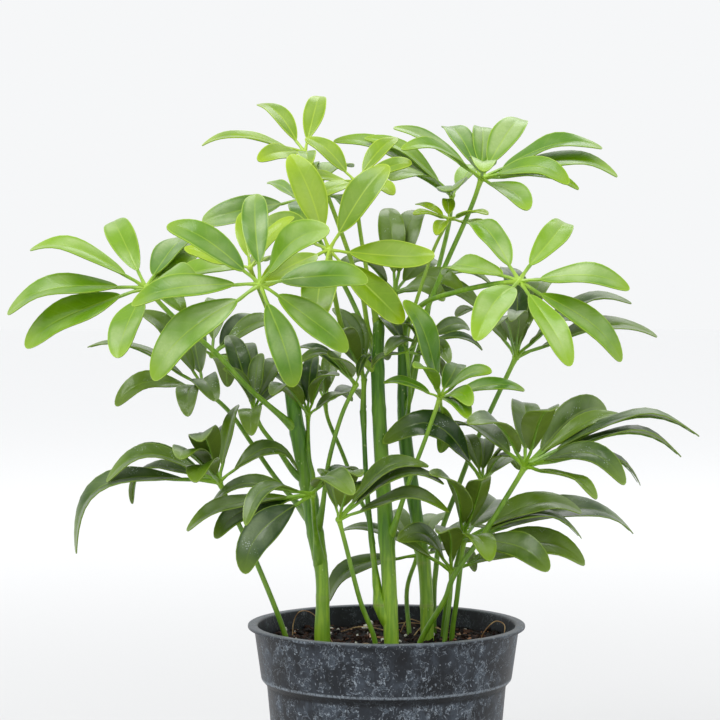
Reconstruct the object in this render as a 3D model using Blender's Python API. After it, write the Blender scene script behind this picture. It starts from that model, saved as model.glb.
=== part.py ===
"""An umbrella plant, Schefflera arboricola, in a black nursery pot.

Three stems and some of the petioles stand in the mix. Each compound leaf is one piece: a petiole, a hub
and a whorl of leaflets. Lengths are in millimetres here and become metres when a mesh is made. The pot's
underside is at Z = 0, its axis is Z, and the plant is seen from -Y. X and Z of a leaf are given as they
show on the upright plane through the pot's axis, so a piece can move in depth and still show in the same
place.
"""
import math
import random
from dataclasses import dataclass, field

import bmesh
import bpy
from mathutils import Matrix, Vector
from mathutils.bvhtree import BVHTree

METRES = 0.001
GAP = 0.3
EYE = Vector((-10.3, -855.0, 222.5))

POT_HEIGHT = 95.0
LIP_RADIUS = 54.0
LIP_THICKNESS = 1.2
COLLAR_TOP_RADIUS = 51.6
COLLAR_FOOT_RADIUS = 48.8
COLLAR_DEPTH = 21.0
STEP_DEPTH = 2.4
BODY_TOP_RADIUS = 46.6
BASE_RADIUS = 40.0
POT_WALL = 1.4
POT_FLOOR = 1.8
POT_SIDES = 36
DRAIN_COUNT = 6
DRAIN_RADIUS = 4.0
DRAIN_SIDES = 12
DRAIN_RING = 29.0

MIX_TOP = 87.5
MIX_RELIEF = 0.9
MIX_RINGS = (12, 24, 36)
MIX_SIDES = 24
STEM_SIDES = 8
STALK_SIDES = 5
STALK_ROOT_RADIUS = 1.3
STALK_HUB_RADIUS = 1.0
HUB_RADIUS = 2.1

BLADE_THICKNESS = 1.3
RIB_HALF_WIDTH = 0.6
TIP_HALF_WIDTH = 1.0
RIB_SHARE = 0.19
BLADE_ROWS = (0.0, 0.3, 0.6, 0.86, 1.0)
SMALL_BLADE_ROWS = (0.0, 0.42, 0.8, 1.0)
SMALL_LEAFLET = 32.0
CLEARANCE = 0.5
BENDS = (0, 3, -3, 6, -6, 9, -9, 12, -12, 16, -16, 20, -20, 25, -25, 30, -30, 36, -36)
MOST_TWIST = math.radians(3)
FULL_BOW = 0.4725


@dataclass
class Age:
    """How leaflets of one age look: bow and width per length, fold along the midrib, and colour."""
    arch: float
    width: float
    fold: float
    colour: tuple


YOUNG = Age(0.08, 0.29, math.radians(10), (0.30, 0.47, 0.03))
GROWN = Age(0.12, 0.27, math.radians(12), (0.17, 0.40, 0.04))
OLD = Age(0.19, 0.27, math.radians(13), (0.055, 0.16, 0.03))


@dataclass
class Stem:
    """A stem: its radius at the foot and the top, its route as x, z, depth, and its side shoot."""
    name: str
    radii: tuple
    route: list
    shoot: list = field(default_factory=list)
    shoot_radii: tuple = (1.3, 0.9)


@dataclass
class Leaf:
    """A compound leaf. The whorl's near leaflets lean to the viewer and its far ones away.

    Each leaflet is given as its tip's x and z from the hub. Where they aren't plain, these follow: the
    degrees by which it turns its face to the viewer, and shares of its age's bow and width. The leaf's
    stalk is the petiole's route from the root to the hub, as x, z, depth.
    """
    name: str
    age: Age
    hub: tuple
    face: tuple
    reach: float
    near: list
    far: list
    stalk: list
    stem: str = ""
    bow: float = 1.0


STEMS = [
    Stem("stem_left", (3.0, 2.8),
         [(-24, 62, -9), (-25, 88, -9), (-25, 112, -8), (-28, 132, -6), (-31, 151, -4), (-35, 172, -2),
          (-37, 187, 0), (-38, 196, 0)]),
    Stem("stem_centre", (3.0, 2.4),
         [(2.5, 62, -15), (2, 87, -14), (0.6, 120, -10), (-1.4, 151, -6), (-3.3, 188, -1), (-3, 211, 3)],
         shoot=[(1.5, 94, -13), (-2.6, 104, -11), (-4.9, 120, -7), (-7.6, 147, -3), (-9.1, 177.6, 0)]),
    Stem("stem_right", (2.75, 2.1),
         [(17, 62, 5), (16, 89, 6), (15, 115, 8), (10.7, 143, 8), (6.8, 173, 7), (6.4, 209, 6)]),
]

LEAVES = [
    Leaf("leaf_top_left", YOUNG, (-31.7, 278, 20), (0, -0.45, 0.87), 34, bow=1.4,
         near=[(-18, -3, 30, 0.8, 0.85), (1, -6, 0, 1, 0.75)],
         far=[(-40, 3, -6, 1.25, 0.9), (-18, 19, -5, 1, 0.8), (6, 22, 0, 1, 0.82)],
         stalk=[(-3, 200, 1), (-7, 209, 6), (-10, 225, 9), (-20, 254, 16), (-26.6, 270, 19)],
         stem="stem_centre"),
    Leaf("leaf_top_middle", YOUNG, (-12.2, 267, 5), (0, -0.6, 0.8), 27,
         near=[(-14, -6), (15, -5), (-21, 2, 0, 0.3), (22, 7, 20)],
         far=[(-19, 17, 0, 1, 1.15), (16, 17)],
         stalk=[(-3, 209, 3), (-5.6, 221, 4), (-10.3, 248, 5)],
         stem="stem_centre"),
    Leaf("leaf_top_back", GROWN, (25.4, 261.7, 44), (-0.3, -0.4, 0.86), 38,
         near=[(0, 2, 0, 0.5, 1.25), (-24, 6, 20, 1, 1.15)],
         far=[(-26, 17, 10, 1, 0.7), (-46, 21, 10, 1, 0.65), (-34, 22, 10, 1, 0.75), (14, 10)],
         stalk=[(7, 184, 7), (14.6, 209, 20), (16.9, 221, 26), (20.8, 236, 34), (24.3, 251, 41)],
         stem="stem_right"),
    Leaf("leaf_top_small", YOUNG, (24.3, 252.4, 15), (0.1, -0.4, 0.9), 18,
         near=[(-5, -6), (-14, 2), (15, 2)],
         far=[(-1, 8), (-13, 6), (22, -6)],
         stalk=[(6.6, 204, 6), (9, 212, 7), (13, 225, 9), (18.5, 241, 13)],
         stem="stem_right"),
    Leaf("leaf_top_right", GROWN, (36.7, 268, 10), (0.1, -0.45, 0.9), 40,
         near=[(1, 3), (34, -2, 28, 1.3, 0.95), (38, -4, 0, 1, 0.85), (18, -12, 8, 0.5),
               (-31, 11.5, 10, 1.2, 0.8)],
         far=[(-14, 20, 0, 1, 0.9), (0, 20, 0, 1, 0.8), (16, 23), (47, 12, 2, 1.1, 0.9),
              (53, 1, 4, 1.15, 0.95), (-34, 20, 0, 0.6, 0.85)],
         stalk=[(6.7, 191, 7), (9.4, 200, 9), (14, 213, 11), (22, 232.6, 12), (32.4, 256, 11)],
         stem="stem_right"),
    Leaf("leaf_left_front", GROWN, (-49.1, 227.2, -58), (-0.05, -0.75, 0.65), 42,
         near=[(-50, -8, 0, 1, 0.8), (-42, -37, 0, 0.8, 1.1), (13, -40), (34, -26, 0, 0.9, 1.12),
               (42, 1.5, 0, 0.9, 1.15),
               (27, 21, 12, 1, 1.15)],
         far=[(-1.5, 35, 0, 1, 0.92), (-36, 23, 0, 1.1, 1.1)],
         stalk=[(-37.8, 193, 0), (-39, 200, -10), (-43, 212, -32), (-47, 221, -48)],
         stem="stem_left"),
    Leaf("leaf_centre_young", YOUNG, (-22.3, 240.4, -22), (-0.1, -0.75, 0.65), 40,
         near=[(29, -28, 0, -0.3, 1.05), (-5, -28, 0, 1, 1.15), (-26, -14), (41, -2, 0, -0.4, 1.1)],
         far=[(-15, 37, 0, 1, 1.1), (23, 33, 0, 1, 1.12), (-27, 10, 15, 0.8, 1.1)],
         stalk=[(-3.6, 193, 0), (-8.4, 197, -3), (-16, 207, -8), (-20, 222, -15)],
         stem="stem_centre"),
    Leaf("leaf_left_high", GROWN, (-93.4, 225.6, -20), (-0.3, -0.55, 0.8), 43, bow=1.25,
         near=[(-54, -10, 5, 1, 0.9), (-47, -23, 20, 0.75), (-11, -27, 0, 0.4, 1.1), (21, -2),
               (15, -9, 0, 1, 0.8)],
         far=[(-45, 15, -10, 1.2, 0.85), (-12.5, 26, 0, 1, 0.9), (17, 20, 0, 0.55, 1.15),
             (23, 15, 25, 0.5, 1.2), (38, 8, 0, 0.5, 1.15)],
         stalk=[(-34.5, 169.5, -2), (-40, 175, -5), (-53.8, 187, -9), (-66.6, 200.7, -13),
                (-82.2, 214, -17)],
         stem="stem_left"),
    Leaf("leaf_right_front", GROWN, (51.5, 228.3, -48), (0.1, -0.75, 0.65), 44, bow=1.2,
         near=[(43, -3, 0, 0.9, 0.9), (40, -31, 0, 0.75, 0.87), (20, -33, 0, 0.65, 0.95), (-17, -23)],
         far=[(-19, 23, 0, 0.8, 0.9), (-29, 3, 0, 0.9), (18, 22.5, 0, 1, 0.85)],
         stalk=[(6.4, 203, 6), (8, 212, -1), (15, 220, -11), (26.6, 224, -23), (40, 227, -37)],
         stem="stem_right"),
    Leaf("leaf_centre_back", OLD, (3.3, 223.7, 40), (0, -0.3, 1), 38,
         near=[(-22, 10), (19, -3, 30), (26, 1, 30), (33, -6, 20)],
         far=[(-3, 33), (10, 32), (17, 11, 30), (38, 3)],
         stalk=[(6.4, 207, 6), (5.5, 212, 17), (4.5, 218, 30)],
         stem="stem_right"),
    Leaf("leaf_right_back", OLD, (50.3, 198.8, 30), (0.1, -0.1, 1), 46,
         near=[(-10, 11, 0, 1, 0.65), (-2, 14, 0, 1, 0.6), (5, 13, 0, 1, 0.6), (32, 12, 30)],
         far=[(55, 8, 10, 0.7), (45, 21, 10, 0.9), (-23, 16), (-5, 35, 0, 1, 0.8), (14, 30, 0, 1, 0.8)],
         stalk=[(18.5, 72, 18), (18.5, 104, 18), (19.2, 115, 18), (21.2, 130, 19), (27.8, 148, 21),
                (33.2, 162, 23), (41.4, 180, 27)]),
    Leaf("leaf_right_small", OLD, (13.4, 204.6, 0), (0.1, -0.3, 0.95), 24,
         near=[(24, -3), (11, -8, 30), (-14, -5)],
         far=[(19, 5, 30), (-10, 7)],
         stalk=[(7, 177, 7), (10, 186, 3), (12, 196, 1)],
         stem="stem_right"),
    Leaf("leaf_centre_right", GROWN, (20.8, 183, -16), (0.1, -0.5, 0.86), 30,
         near=[(12, -3, 30), (11, -8), (20, 10, 20), (-10, 12)],
         far=[(33, 3), (-14, 38), (7, 13), (-22, 6), (0, -21)],
         stalk=[(1.3, 128, -9), (4.1, 136, -13), (8.7, 150, -15), (15, 166.6, -16)],
         stem="stem_centre"),
    Leaf("leaf_right_low", OLD, (53.8, 156.1, -26), (0.25, -0.3, 0.9), 46, bow=0.75,
         near=[(28, -12.5, 3, 0.6, 0.6), (39, -7, 25, 1.6, 0.95), (10, 22, 30), (-22, 17)],
         far=[(-32, 14), (-2, 25), (32, 22, 45), (39, 20, 0, 1, 0.6), (68, 12, -13, 1.3, 0.8),
              (61, 4, -10, 1.4, 0.8), (45, -7, -5, 1.5, 0.85)],
         stalk=[(10, 72, -6), (13.4, 88, -8), (22.7, 104, -12), (26.6, 114, -14), (39, 131.6, -19),
                (46, 143, -22), (51.5, 152, -25)]),
    Leaf("leaf_right_lowest", OLD, (30.1, 127.3, -8), (0.15, -0.35, 0.9), 42, bow=0.8,
         near=[(46, 11, 7, 1.25, 1.05), (-13, 26), (33, -12, 34, 0.95, 1.1), (10, -8), (7, 24, 20)],
         far=[(13, 13), (66, 3, 0, 1.15, 0.8), (46, 1, -5, 1.55, 0.85)],
         stalk=[(26, 72, -1), (25.6, 90, -2), (27.4, 104, -4), (29, 118, -6)]),
    Leaf("leaf_right_inner", OLD, (37.5, 150.2, -3), (0, -0.3, 0.95), 36,
         near=[(-39, 15, 40, 1.8), (12, 10), (15, 15)],
         far=[(0, 16), (14, 5), (-8, 18)],
         stalk=[(21, 72, 14), (23, 100, 12), (27.8, 120, 7), (32.4, 139, 0)]),
    Leaf("leaf_low_centre", OLD, (25.4, 115.3, -3), (0, -0.35, 0.93), 34,
         near=[(-21, 12, 45), (-5, 15), (31, 3)],
         far=[(-43, 16, 0, 0.8, 0.55), (1, 14), (52, 3, 20)],
         stalk=[(21.5, 72, -5), (22.7, 88, -5), (24.7, 104, -4)]),
    Leaf("leaf_low_back", OLD, (12.2, 121.5, 34), (-0.1, -0.2, 0.95), 36,
         near=[],
         far=[(-35, -18, 20), (30, 8), (10, 14), (-12, 16), (22, -6)],
         stalk=[(10, 72, 20), (9, 90, 22), (8, 108, 28)]),
    Leaf("leaf_left_low", OLD, (-65.1, 150.2, -22), (-0.25, -0.3, 0.92), 42,
         near=[(-15, 9, 20, 0.8), (-9, 0, 0, 0.8), (-7, 16)],
         far=[(-56, -28, 8, 1.75, 0.8), (-39, 6, 5, 1.4, 0.6), (-44, 0, 5, 1.3), (-34, -8.5, 0, 1.6, 0.65),
              (-2, 17), (7, 30, -20, 0.4, 0.65), (31, 4, 22, 1.8)],
         stalk=[(-36, 72, -7), (-39.4, 90, -9), (-50.3, 118, -14), (-60, 139, -19)]),
    Leaf("leaf_left_inner", OLD, (-28.9, 145.2, -32), (-0.25, -0.35, 0.9), 42,
         near=[(-26, -12, 10, 1.3, 0.75), (-26, -31, 50, 1, 1.15), (16, 0), (-38, -17, 30, 0.7, 0.9)],
         far=[(-40, -5, 5, 1, 0.9), (-49, -14, 0, 0.6, 0.9), (18, 8)],
         stalk=[(-26, 118, -7.5), (-27, 126, -11.5), (-28, 134, -18), (-28.4, 140, -25)],
         stem="stem_left"),
    Leaf("leaf_middle_low", OLD, (-18.5, 135.5, -32), (0.1, -0.35, 0.9), 36,
         near=[(5, 10), (8, 17)],
         far=[(41, 14, 0, 1.35, 0.8), (35, 21, 0, 1.2, 1), (43, 3, 0, 1, 0.85), (-8, 20)],
         stalk=[(-4, 72, -20), (-4.5, 88, -21), (-10.3, 104, -24), (-16, 126, -29)]),
    Leaf("leaf_left_thin", OLD, (-30.5, 176, 2), (-0.1, -0.2, 1), 26,
         near=[(-14, 8), (12, 16)],
         far=[(-8, 20), (3, 24), (17, 6)],
         stalk=[(-29.5, 143, -5), (-28.6, 152, -10), (-30, 159, -9), (-30.5, 168, -3)],
         stem="stem_left"),
    Leaf("leaf_middle_thin", OLD, (-23.9, 181, 26), (0.1, -0.2, 1), 28,
         near=[(-4, 12)],
         far=[(5, 20), (15, 1), (-10, 14)],
         stalk=[(-5.4, 126, -6), (-7.2, 137, 6), (-11, 145, 13), (-17, 161, 20), (-22.5, 174, 25)],
         stem="stem_centre"),
    Leaf("leaf_left_upper", OLD, (-51.5, 177.4, 0), (-0.1, -0.4, 0.9), 34,
         near=[(-12, 17, 20), (3, 23), (-1, -9)],
         far=[(-2, 27), (12, 20), (15, 7), (-10, 30)],
         stalk=[(-31, 150, -4), (-36, 154, -4), (-43, 164, -2), (-48.4, 171, 0)],
         stem="stem_left"),
    Leaf("leaf_left_middle", OLD, (-71.3, 186.8, 26), (-0.2, -0.3, 0.93), 38,
         near=[(-6, -11), (-34, -7, 25), (5, -5)],
         far=[(-45, 16, -13, 0.75, 0.8), (-24, 30, 10, 0.6), (-2, 20)],
         stalk=[(-28.8, 136, -5), (-35, 142, 4), (-43.3, 152, 11), (-52.3, 165, 18), (-61, 177.4, 23)],
         stem="stem_left"),
    Leaf("leaf_centre_left", OLD, (-8.7, 190, 2), (-0.1, -0.2, 1), 31,
         near=[(-14, 16)],
         far=[(-5, 26), (-12, 28), (9, 8)],
         stalk=[(-9.1, 178, 0), (-8.9, 184, 1)],
         stem="stem_centre"),
    Leaf("leaf_right_tuft", OLD, (8, 200.7, -12), (0, -0.3, 0.95), 20,
         near=[(-14, -6), (12, 8)],
         far=[(-10, 12), (14, -10)],
         stalk=[(6.8, 171, 7), (8.5, 178, -2), (9, 188, -9)],
         stem="stem_right"),
    Leaf("leaf_left_back", OLD, (-67.8, 199.6, 40), (0, -0.2, 0.98), 36,
         near=[],
         far=[(17, 15.5, 20, 0.3), (30, 10, 20), (3, 21), (-17, 0), (6, -12)],
         stalk=[(-37.2, 188, 0), (-43, 192, 14), (-54, 197, 30)],
         stem="stem_left"),
    Leaf("leaf_middle_high", OLD, (-12, 188, -15), (0, -0.3, 0.95), 30,
         near=[(-10, 11, 20, 0.5, 1.1), (-22, 9, 10, 1.2, 0.8)],
         far=[(6, 12), (-24, 14, 0, 1, 0.8)],
         stalk=[(-27.6, 130, -6.4), (-25, 140, -12), (-22.5, 158, -17), (-17.5, 176, -17.5)],
         stem="stem_left"),
    Leaf("leaf_back_high", GROWN, (-33.6, 259.8, 38), (-0.2, -0.45, 0.87), 38,
         near=[(-38, -8.5, 35, 0.2, 1.1), (1, -10)],
         far=[(-12.5, 7, 0, 0.2, 0.5), (20, 13, 0, 1, 1.2), (6, 14), (19, -4)],
         stalk=[(-3.2, 195, 0), (-6, 203, 9), (-14, 222, 22), (-27, 246, 34)],
         stem="stem_centre"),
    Leaf("leaf_left_young", YOUNG, (-53, 233.4, -27), (-0.1, -0.6, 0.8), 27,
         near=[],
         far=[(-25.5, 8, 10, 0.1, 0.9), (-2.5, 22, 0, 0.6, 0.8), (17, 20, 0, 1, 0.9), (6, 3)],
         stalk=[(-37.9, 194, 0), (-41, 204, -3), (-47, 219, -13)],
         stem="stem_left"),
]


def shown(x, z, depth):
    """The point at a depth that shows at x, z on the upright plane through the pot's axis."""
    scale = (depth - EYE.y) / -EYE.y
    return Vector((EYE.x + (x - EYE.x) * scale, depth, EYE.z + (z - EYE.z) * scale))


def smooth_route(points, per_span):
    """Points along a smooth curve through the given ones."""
    ends = [points[0] * 2 - points[1]] + points + [points[-1] * 2 - points[-2]]
    route = []
    for a, b, c, d in zip(ends, ends[1:], ends[2:], ends[3:]):
        for step in range(per_span):
            t = step / per_span
            route.append(0.5 * (2 * b + (c - a) * t + (2 * a - 5 * b + 4 * c - d) * t**2
                                + (3 * b - a - 3 * c + d) * t**3))
    return route + [points[-1]]


def tube_sections(route, radii, sides):
    """Rings round a route, from one radius to another."""
    sections = []
    side = Vector((1, 0, 0))
    for index, point in enumerate(route):
        along = (route[min(index + 1, len(route) - 1)] - route[max(index - 1, 0)]).normalized()
        side = (side - along * side.dot(along)).normalized()
        across = along.cross(side)
        radius = radii[0] + (radii[1] - radii[0]) * index / (len(route) - 1)
        turns = [math.tau * k / sides for k in range(sides)]
        ring = [side * math.cos(turn) + across * math.sin(turn) for turn in turns]
        sections.append([point + spoke * radius for spoke in ring])
    return sections


class Leaflet:
    """One leaflet's curve: it rises from the hub, is widest past its middle, and droops to its tip."""

    def __init__(self, leaf, tip, twist, bow, width):
        self.age = leaf.age
        self.hub = shown(*leaf.hub)
        self.run = tip - self.hub
        self.twist = twist
        face = Vector(leaf.face).normalized()
        self.lift = (face - self.run * (face.dot(self.run) / self.run.length_squared)).normalized()
        self.bow = self.age.arch * leaf.bow * bow * self.run.length / FULL_BOW
        self.half_width = self.age.width * width * self.run.length / 2

    def sections(self, grow=0.0):
        """Four-point sections: a short stalk at the hub, then the blade, folded along its midrib."""
        rows = BLADE_ROWS if self.run.length > SMALL_LEAFLET else SMALL_BLADE_ROWS
        sections = []
        for t in [0.0] + [RIB_SHARE + (1 - RIB_SHARE) * s for s in rows]:
            s = max(0.0, (t - RIB_SHARE) / (1 - RIB_SHARE))
            swell = math.sin(math.pi * min(s, 0.999)**1.1)**0.7 if s > 0 else 0
            narrowest = RIB_HALF_WIDTH + (TIP_HALF_WIDTH - RIB_HALF_WIDTH) * s
            half = max(self.half_width * swell, narrowest) + grow
            along = (self.run + self.lift * self.bow * (1 - 4 * t**3)).normalized()
            across = along.cross(self.lift).normalized()
            side = Matrix.Rotation(self.twist * min(3 * t, 1), 3, along) @ across
            up = side.cross(along)
            middle = self.hub + self.run * t + self.lift * self.bow * (t - t**4)
            edge = side * half * math.cos(self.age.fold)
            raised = up * half * math.sin(self.age.fold)
            thick = up * (BLADE_THICKNESS / 2 + grow)
            sections.append([middle - edge + raised, middle + thick, middle + edge + raised,
                             middle - thick])
        return sections


def tree_of(sections):
    """A search tree of the solid that sections bound."""
    count = len(sections[0])
    points = [point for section in sections for point in section]
    faces = [tuple(range(count)), tuple(range(len(points) - count, len(points)))]
    for row in range(len(sections) - 1):
        for k in range(count):
            a, b = row * count + k, row * count + (k + 1) % count
            faces.append((a, b, b + count, a + count))
    return BVHTree.FromPolygons(points, faces)


def swept(sections):
    """A closed mesh through sections: edges are extruded from each one to the next, and both ends filled."""
    bm = bmesh.new()
    count = len(sections[0])
    ring = bmesh.ops.create_circle(bm, segments=count, radius=1)["verts"]
    for vert, point in zip(ring, sections[0]):
        vert.co = point
    for previous, section in zip(sections, sections[1:]):
        edges = [bm.edges.get(pair) for pair in zip(ring, ring[1:] + ring[:1])]
        made = bmesh.ops.extrude_edge_only(bm, edges=edges)["geom"]
        loose = [item for item in made if isinstance(item, bmesh.types.BMVert)]
        fresh = [min(loose, key=lambda vert: (vert.co - point).length_squared) for point in previous]
        for vert, point in zip(fresh, section):
            vert.co = point
        split_alike(ring, fresh)
        ring = fresh
    bmesh.ops.holes_fill(bm, edges=bm.edges)
    bmesh.ops.recalc_face_normals(bm, faces=bm.faces)
    return bm


def split_alike(ring, fresh):
    """Splits the quads between two rings from their odd points, so a blade's two faces split alike."""
    count = len(ring)
    for k in range(count):
        a, b = ring[k], ring[(k + 1) % count]
        c, d = fresh[(k + 1) % count], fresh[k]
        quads = [face for face in a.link_faces if len(face.verts) == 4]
        quad = next(face for face in quads if b in face.verts and c in face.verts)
        first, second = (a, c) if k % 2 else (b, d)
        bmesh.utils.face_split(quad, first, second)


def new_object(name, bm, collection=None):
    """Makes an object of a mesh that is in millimetres."""
    bmesh.ops.scale(bm, vec=(METRES,) * 3, verts=bm.verts)
    mesh = bpy.data.meshes.new(name)
    bm.to_mesh(mesh)
    bm.free()
    thing = bpy.data.objects.new(name, mesh)
    (collection or bpy.context.scene.collection).objects.link(thing)
    return thing


def apply_boolean(thing, operation, others):
    """Joins or cuts an object by others, which are then removed."""
    group = bpy.data.collections.new(thing.name + "_others")
    bpy.context.scene.collection.children.link(group)
    for other in others:
        for owner in list(other.users_collection):
            owner.objects.unlink(other)
        group.objects.link(other)
    modifier = thing.modifiers.new("Boolean", "BOOLEAN")
    modifier.operation = operation
    modifier.operand_type = "COLLECTION"
    modifier.collection = group
    modifier.solver = "EXACT"
    mesh = bpy.data.meshes.new_from_object(thing.evaluated_get(bpy.context.evaluated_depsgraph_get()))
    thing.modifiers.clear()
    thing.data = mesh
    for other in others:
        bpy.data.objects.remove(other)
    bpy.data.collections.remove(group)


def finish(thing, colour, roughness):
    """Gives an object its material and smooth shading."""
    material = bpy.data.materials.new(thing.name)
    material.use_nodes = True
    shader = material.node_tree.nodes["Principled BSDF"]
    shader.inputs["Base Color"].default_value = (*colour, 1)
    shader.inputs["Roughness"].default_value = roughness
    shader.inputs["Metallic"].default_value = 0
    thing.data.materials.clear()
    thing.data.materials.append(material)
    thing.data.shade_smooth()
    thing.data.set_sharp_from_angle(angle=math.radians(40))


def turned(profile, sides):
    """A closed mesh of a radius and height profile turned round Z."""
    bm = bmesh.new()
    verts = [bm.verts.new((radius, 0, height)) for radius, height in profile]
    edges = [bm.edges.new(pair) for pair in zip(verts, verts[1:])]
    bmesh.ops.spin(bm, geom=verts + edges, cent=(0, 0, 0), axis=(0, 0, 1), angle=math.tau,
                   steps=sides, use_merge=True)
    bmesh.ops.remove_doubles(bm, verts=bm.verts, dist=0.01)
    bmesh.ops.recalc_face_normals(bm, faces=bm.faces)
    return bm


def wall_radius(height):
    """The inside radius of the pot's body at a height."""
    body_top = POT_HEIGHT - COLLAR_DEPTH - STEP_DEPTH
    if height > POT_HEIGHT - COLLAR_DEPTH:
        share = (height - POT_HEIGHT + COLLAR_DEPTH) / COLLAR_DEPTH
        return COLLAR_FOOT_RADIUS + (COLLAR_TOP_RADIUS - COLLAR_FOOT_RADIUS) * share - POT_WALL
    return BASE_RADIUS + (BODY_TOP_RADIUS - BASE_RADIUS) * min(height / body_top, 1) - POT_WALL


def make_pot():
    """The pot: a tapered body, a step out to the collar, a flanged lip, and drain holes round its floor."""
    collar_foot = POT_HEIGHT - COLLAR_DEPTH
    body_top = collar_foot - STEP_DEPTH
    profile = [
        (0, 0), (BASE_RADIUS, 0), (BODY_TOP_RADIUS, body_top), (COLLAR_FOOT_RADIUS, collar_foot),
        (COLLAR_TOP_RADIUS, POT_HEIGHT - LIP_THICKNESS), (LIP_RADIUS, POT_HEIGHT - LIP_THICKNESS),
        (LIP_RADIUS, POT_HEIGHT), (COLLAR_TOP_RADIUS - POT_WALL, POT_HEIGHT),
        (COLLAR_FOOT_RADIUS - POT_WALL, collar_foot), (BODY_TOP_RADIUS - POT_WALL, body_top),
        (wall_radius(POT_FLOOR), POT_FLOOR), (0, POT_FLOOR),
    ]
    pot = new_object("pot", turned(profile, POT_SIDES))
    drains = []
    for index in range(DRAIN_COUNT):
        bm = bmesh.new()
        turn = math.tau * index / DRAIN_COUNT
        centre = Vector((DRAIN_RING * math.cos(turn), DRAIN_RING * math.sin(turn), POT_FLOOR / 2))
        bmesh.ops.create_cone(bm, cap_ends=True, segments=DRAIN_SIDES, radius1=DRAIN_RADIUS,
                              radius2=DRAIN_RADIUS, depth=POT_FLOOR * 3, matrix=Matrix.Translation(centre))
        drains.append(new_object("drain", bm))
    apply_boolean(pot, "DIFFERENCE", drains)
    finish(pot, (0.035, 0.04, 0.045), 0.45)


def mix_height(x, y):
    """The height of the mix's uneven top."""
    waves = math.sin(x * 0.21 + 1.3) * math.cos(y * 0.17) + 0.6 * math.sin(x * 0.09 - y * 0.13)
    return MIX_TOP + MIX_RELIEF * waves


def make_mix(holes):
    """The potting mix: it fills the pot to under its rim, with a plain hole for each thing in it."""
    collar_foot = POT_HEIGHT - COLLAR_DEPTH
    body_top = collar_foot - STEP_DEPTH
    floor = POT_FLOOR + GAP
    profile = [(0, floor), (wall_radius(floor) - GAP, floor), (wall_radius(body_top) - GAP, body_top),
               (wall_radius(collar_foot + 0.1) - GAP, collar_foot), (wall_radius(MIX_TOP) - GAP, MIX_TOP)]
    profile += [(radius, MIX_TOP) for radius in reversed(MIX_RINGS)] + [(0, MIX_TOP)]
    bm = turned(profile, MIX_SIDES)
    for vert in bm.verts:
        if vert.co.z > MIX_TOP - 0.01 and vert.co.xy.length < MIX_RINGS[-1] + 1:
            vert.co.z = mix_height(vert.co.x, vert.co.y)
    bmesh.ops.triangulate(bm, faces=bm.faces)
    mix = new_object("potting_mix", bm)
    apply_boolean(mix, "DIFFERENCE", holes)
    finish(mix, (0.03, 0.02, 0.014), 0.95)


def stem_tubes(stem, grow=0.0):
    """The sections of a stem and of its side shoot, if it has one."""
    tubes = []
    for route, radii in ((stem.route, stem.radii), (stem.shoot, stem.shoot_radii)):
        if route:
            line = [shown(*point) for point in route]
            tubes.append(tube_sections(line, [radius + grow for radius in radii], STEM_SIDES))
    return tubes


def stalk_sections(leaf, grow=0.0):
    """The sections of a leaf's petiole, from its root to its hub."""
    route = [shown(*point) for point in leaf.stalk + [leaf.hub]]
    line = smooth_route(route, 2) if len(route) < 5 else route
    return tube_sections(line, (STALK_ROOT_RADIUS + grow, STALK_HUB_RADIUS + grow), STALK_SIDES)


def hub_sections(leaf):
    """Two rings that bound a leaf's hub."""
    hub = shown(*leaf.hub)
    rise = Vector((0, 0, HUB_RADIUS))
    return tube_sections([hub - rise, hub + rise], (HUB_RADIUS, HUB_RADIUS), 8)


def leaflet_plan(leaf, side, x, z, turn=0, bow=1.0, width=1.0):
    """A leaflet's tip as x, z and depth, before it is bent clear of its neighbours, its twist and form."""
    depth = side * math.sqrt(max(leaf.reach**2 - x * x - z * z, 0))
    twist = math.radians(turn) * math.copysign(1, x)
    return leaf.hub[0] + x, leaf.hub[1] + z, leaf.hub[2] + depth, twist, bow, width


def leaflet_plans(leaf):
    """The plans of a leaf's near leaflets and of its far ones."""
    return ([leaflet_plan(leaf, -1, *terms) for terms in leaf.near]
            + [leaflet_plan(leaf, 1, *terms) for terms in leaf.far])


def lay_out(leaves, stems):
    """Each leaf's leaflets, bent in depth until they are clear of what was placed before."""
    fixed = [tree_of(tube) for stem in stems for tube in stem_tubes(stem)]
    placed = {leaf.name: [tree_of(stalk_sections(leaf)), tree_of(hub_sections(leaf))] for leaf in leaves}
    chosen = {}
    for leaf in leaves:
        draw = random.Random(leaf.name)
        others = fixed + [tree for name, trees in placed.items() if name != leaf.name for tree in trees]
        chosen[leaf.name] = []
        own = []
        for x, z, depth, twist, bow, width in leaflet_plans(leaf):
            twist += draw.uniform(-MOST_TWIST, MOST_TWIST)
            best = None
            for bend in BENDS:
                leaflet = Leaflet(leaf, shown(x, z, depth + bend), twist, bow, width)
                tested = leaflet.sections(CLEARANCE)
                whole = tree_of(tested)
                if any(whole.overlap(tree) for tree in others):
                    continue
                best = best or leaflet
                blade = tree_of(tested[2:])
                if not any(blade.overlap(tree) for tree in own):
                    best = leaflet
                    break
            if best is None:
                print("no clear place for a leaflet of", leaf.name, x - leaf.hub[0], z - leaf.hub[1])
                continue
            chosen[leaf.name].append(best)
            sections = best.sections()
            placed[leaf.name].append(tree_of(sections))
            own.append(tree_of(sections[1:]))
    return chosen


def make_stem(stem):
    """A stem, with its side shoot fused to it."""
    tubes = [new_object(stem.name, swept(tube)) for tube in stem_tubes(stem)]
    if tubes[1:]:
        apply_boolean(tubes[0], "UNION", tubes[1:])
    finish(tubes[0], (0.16, 0.33, 0.04), 0.4)


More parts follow.
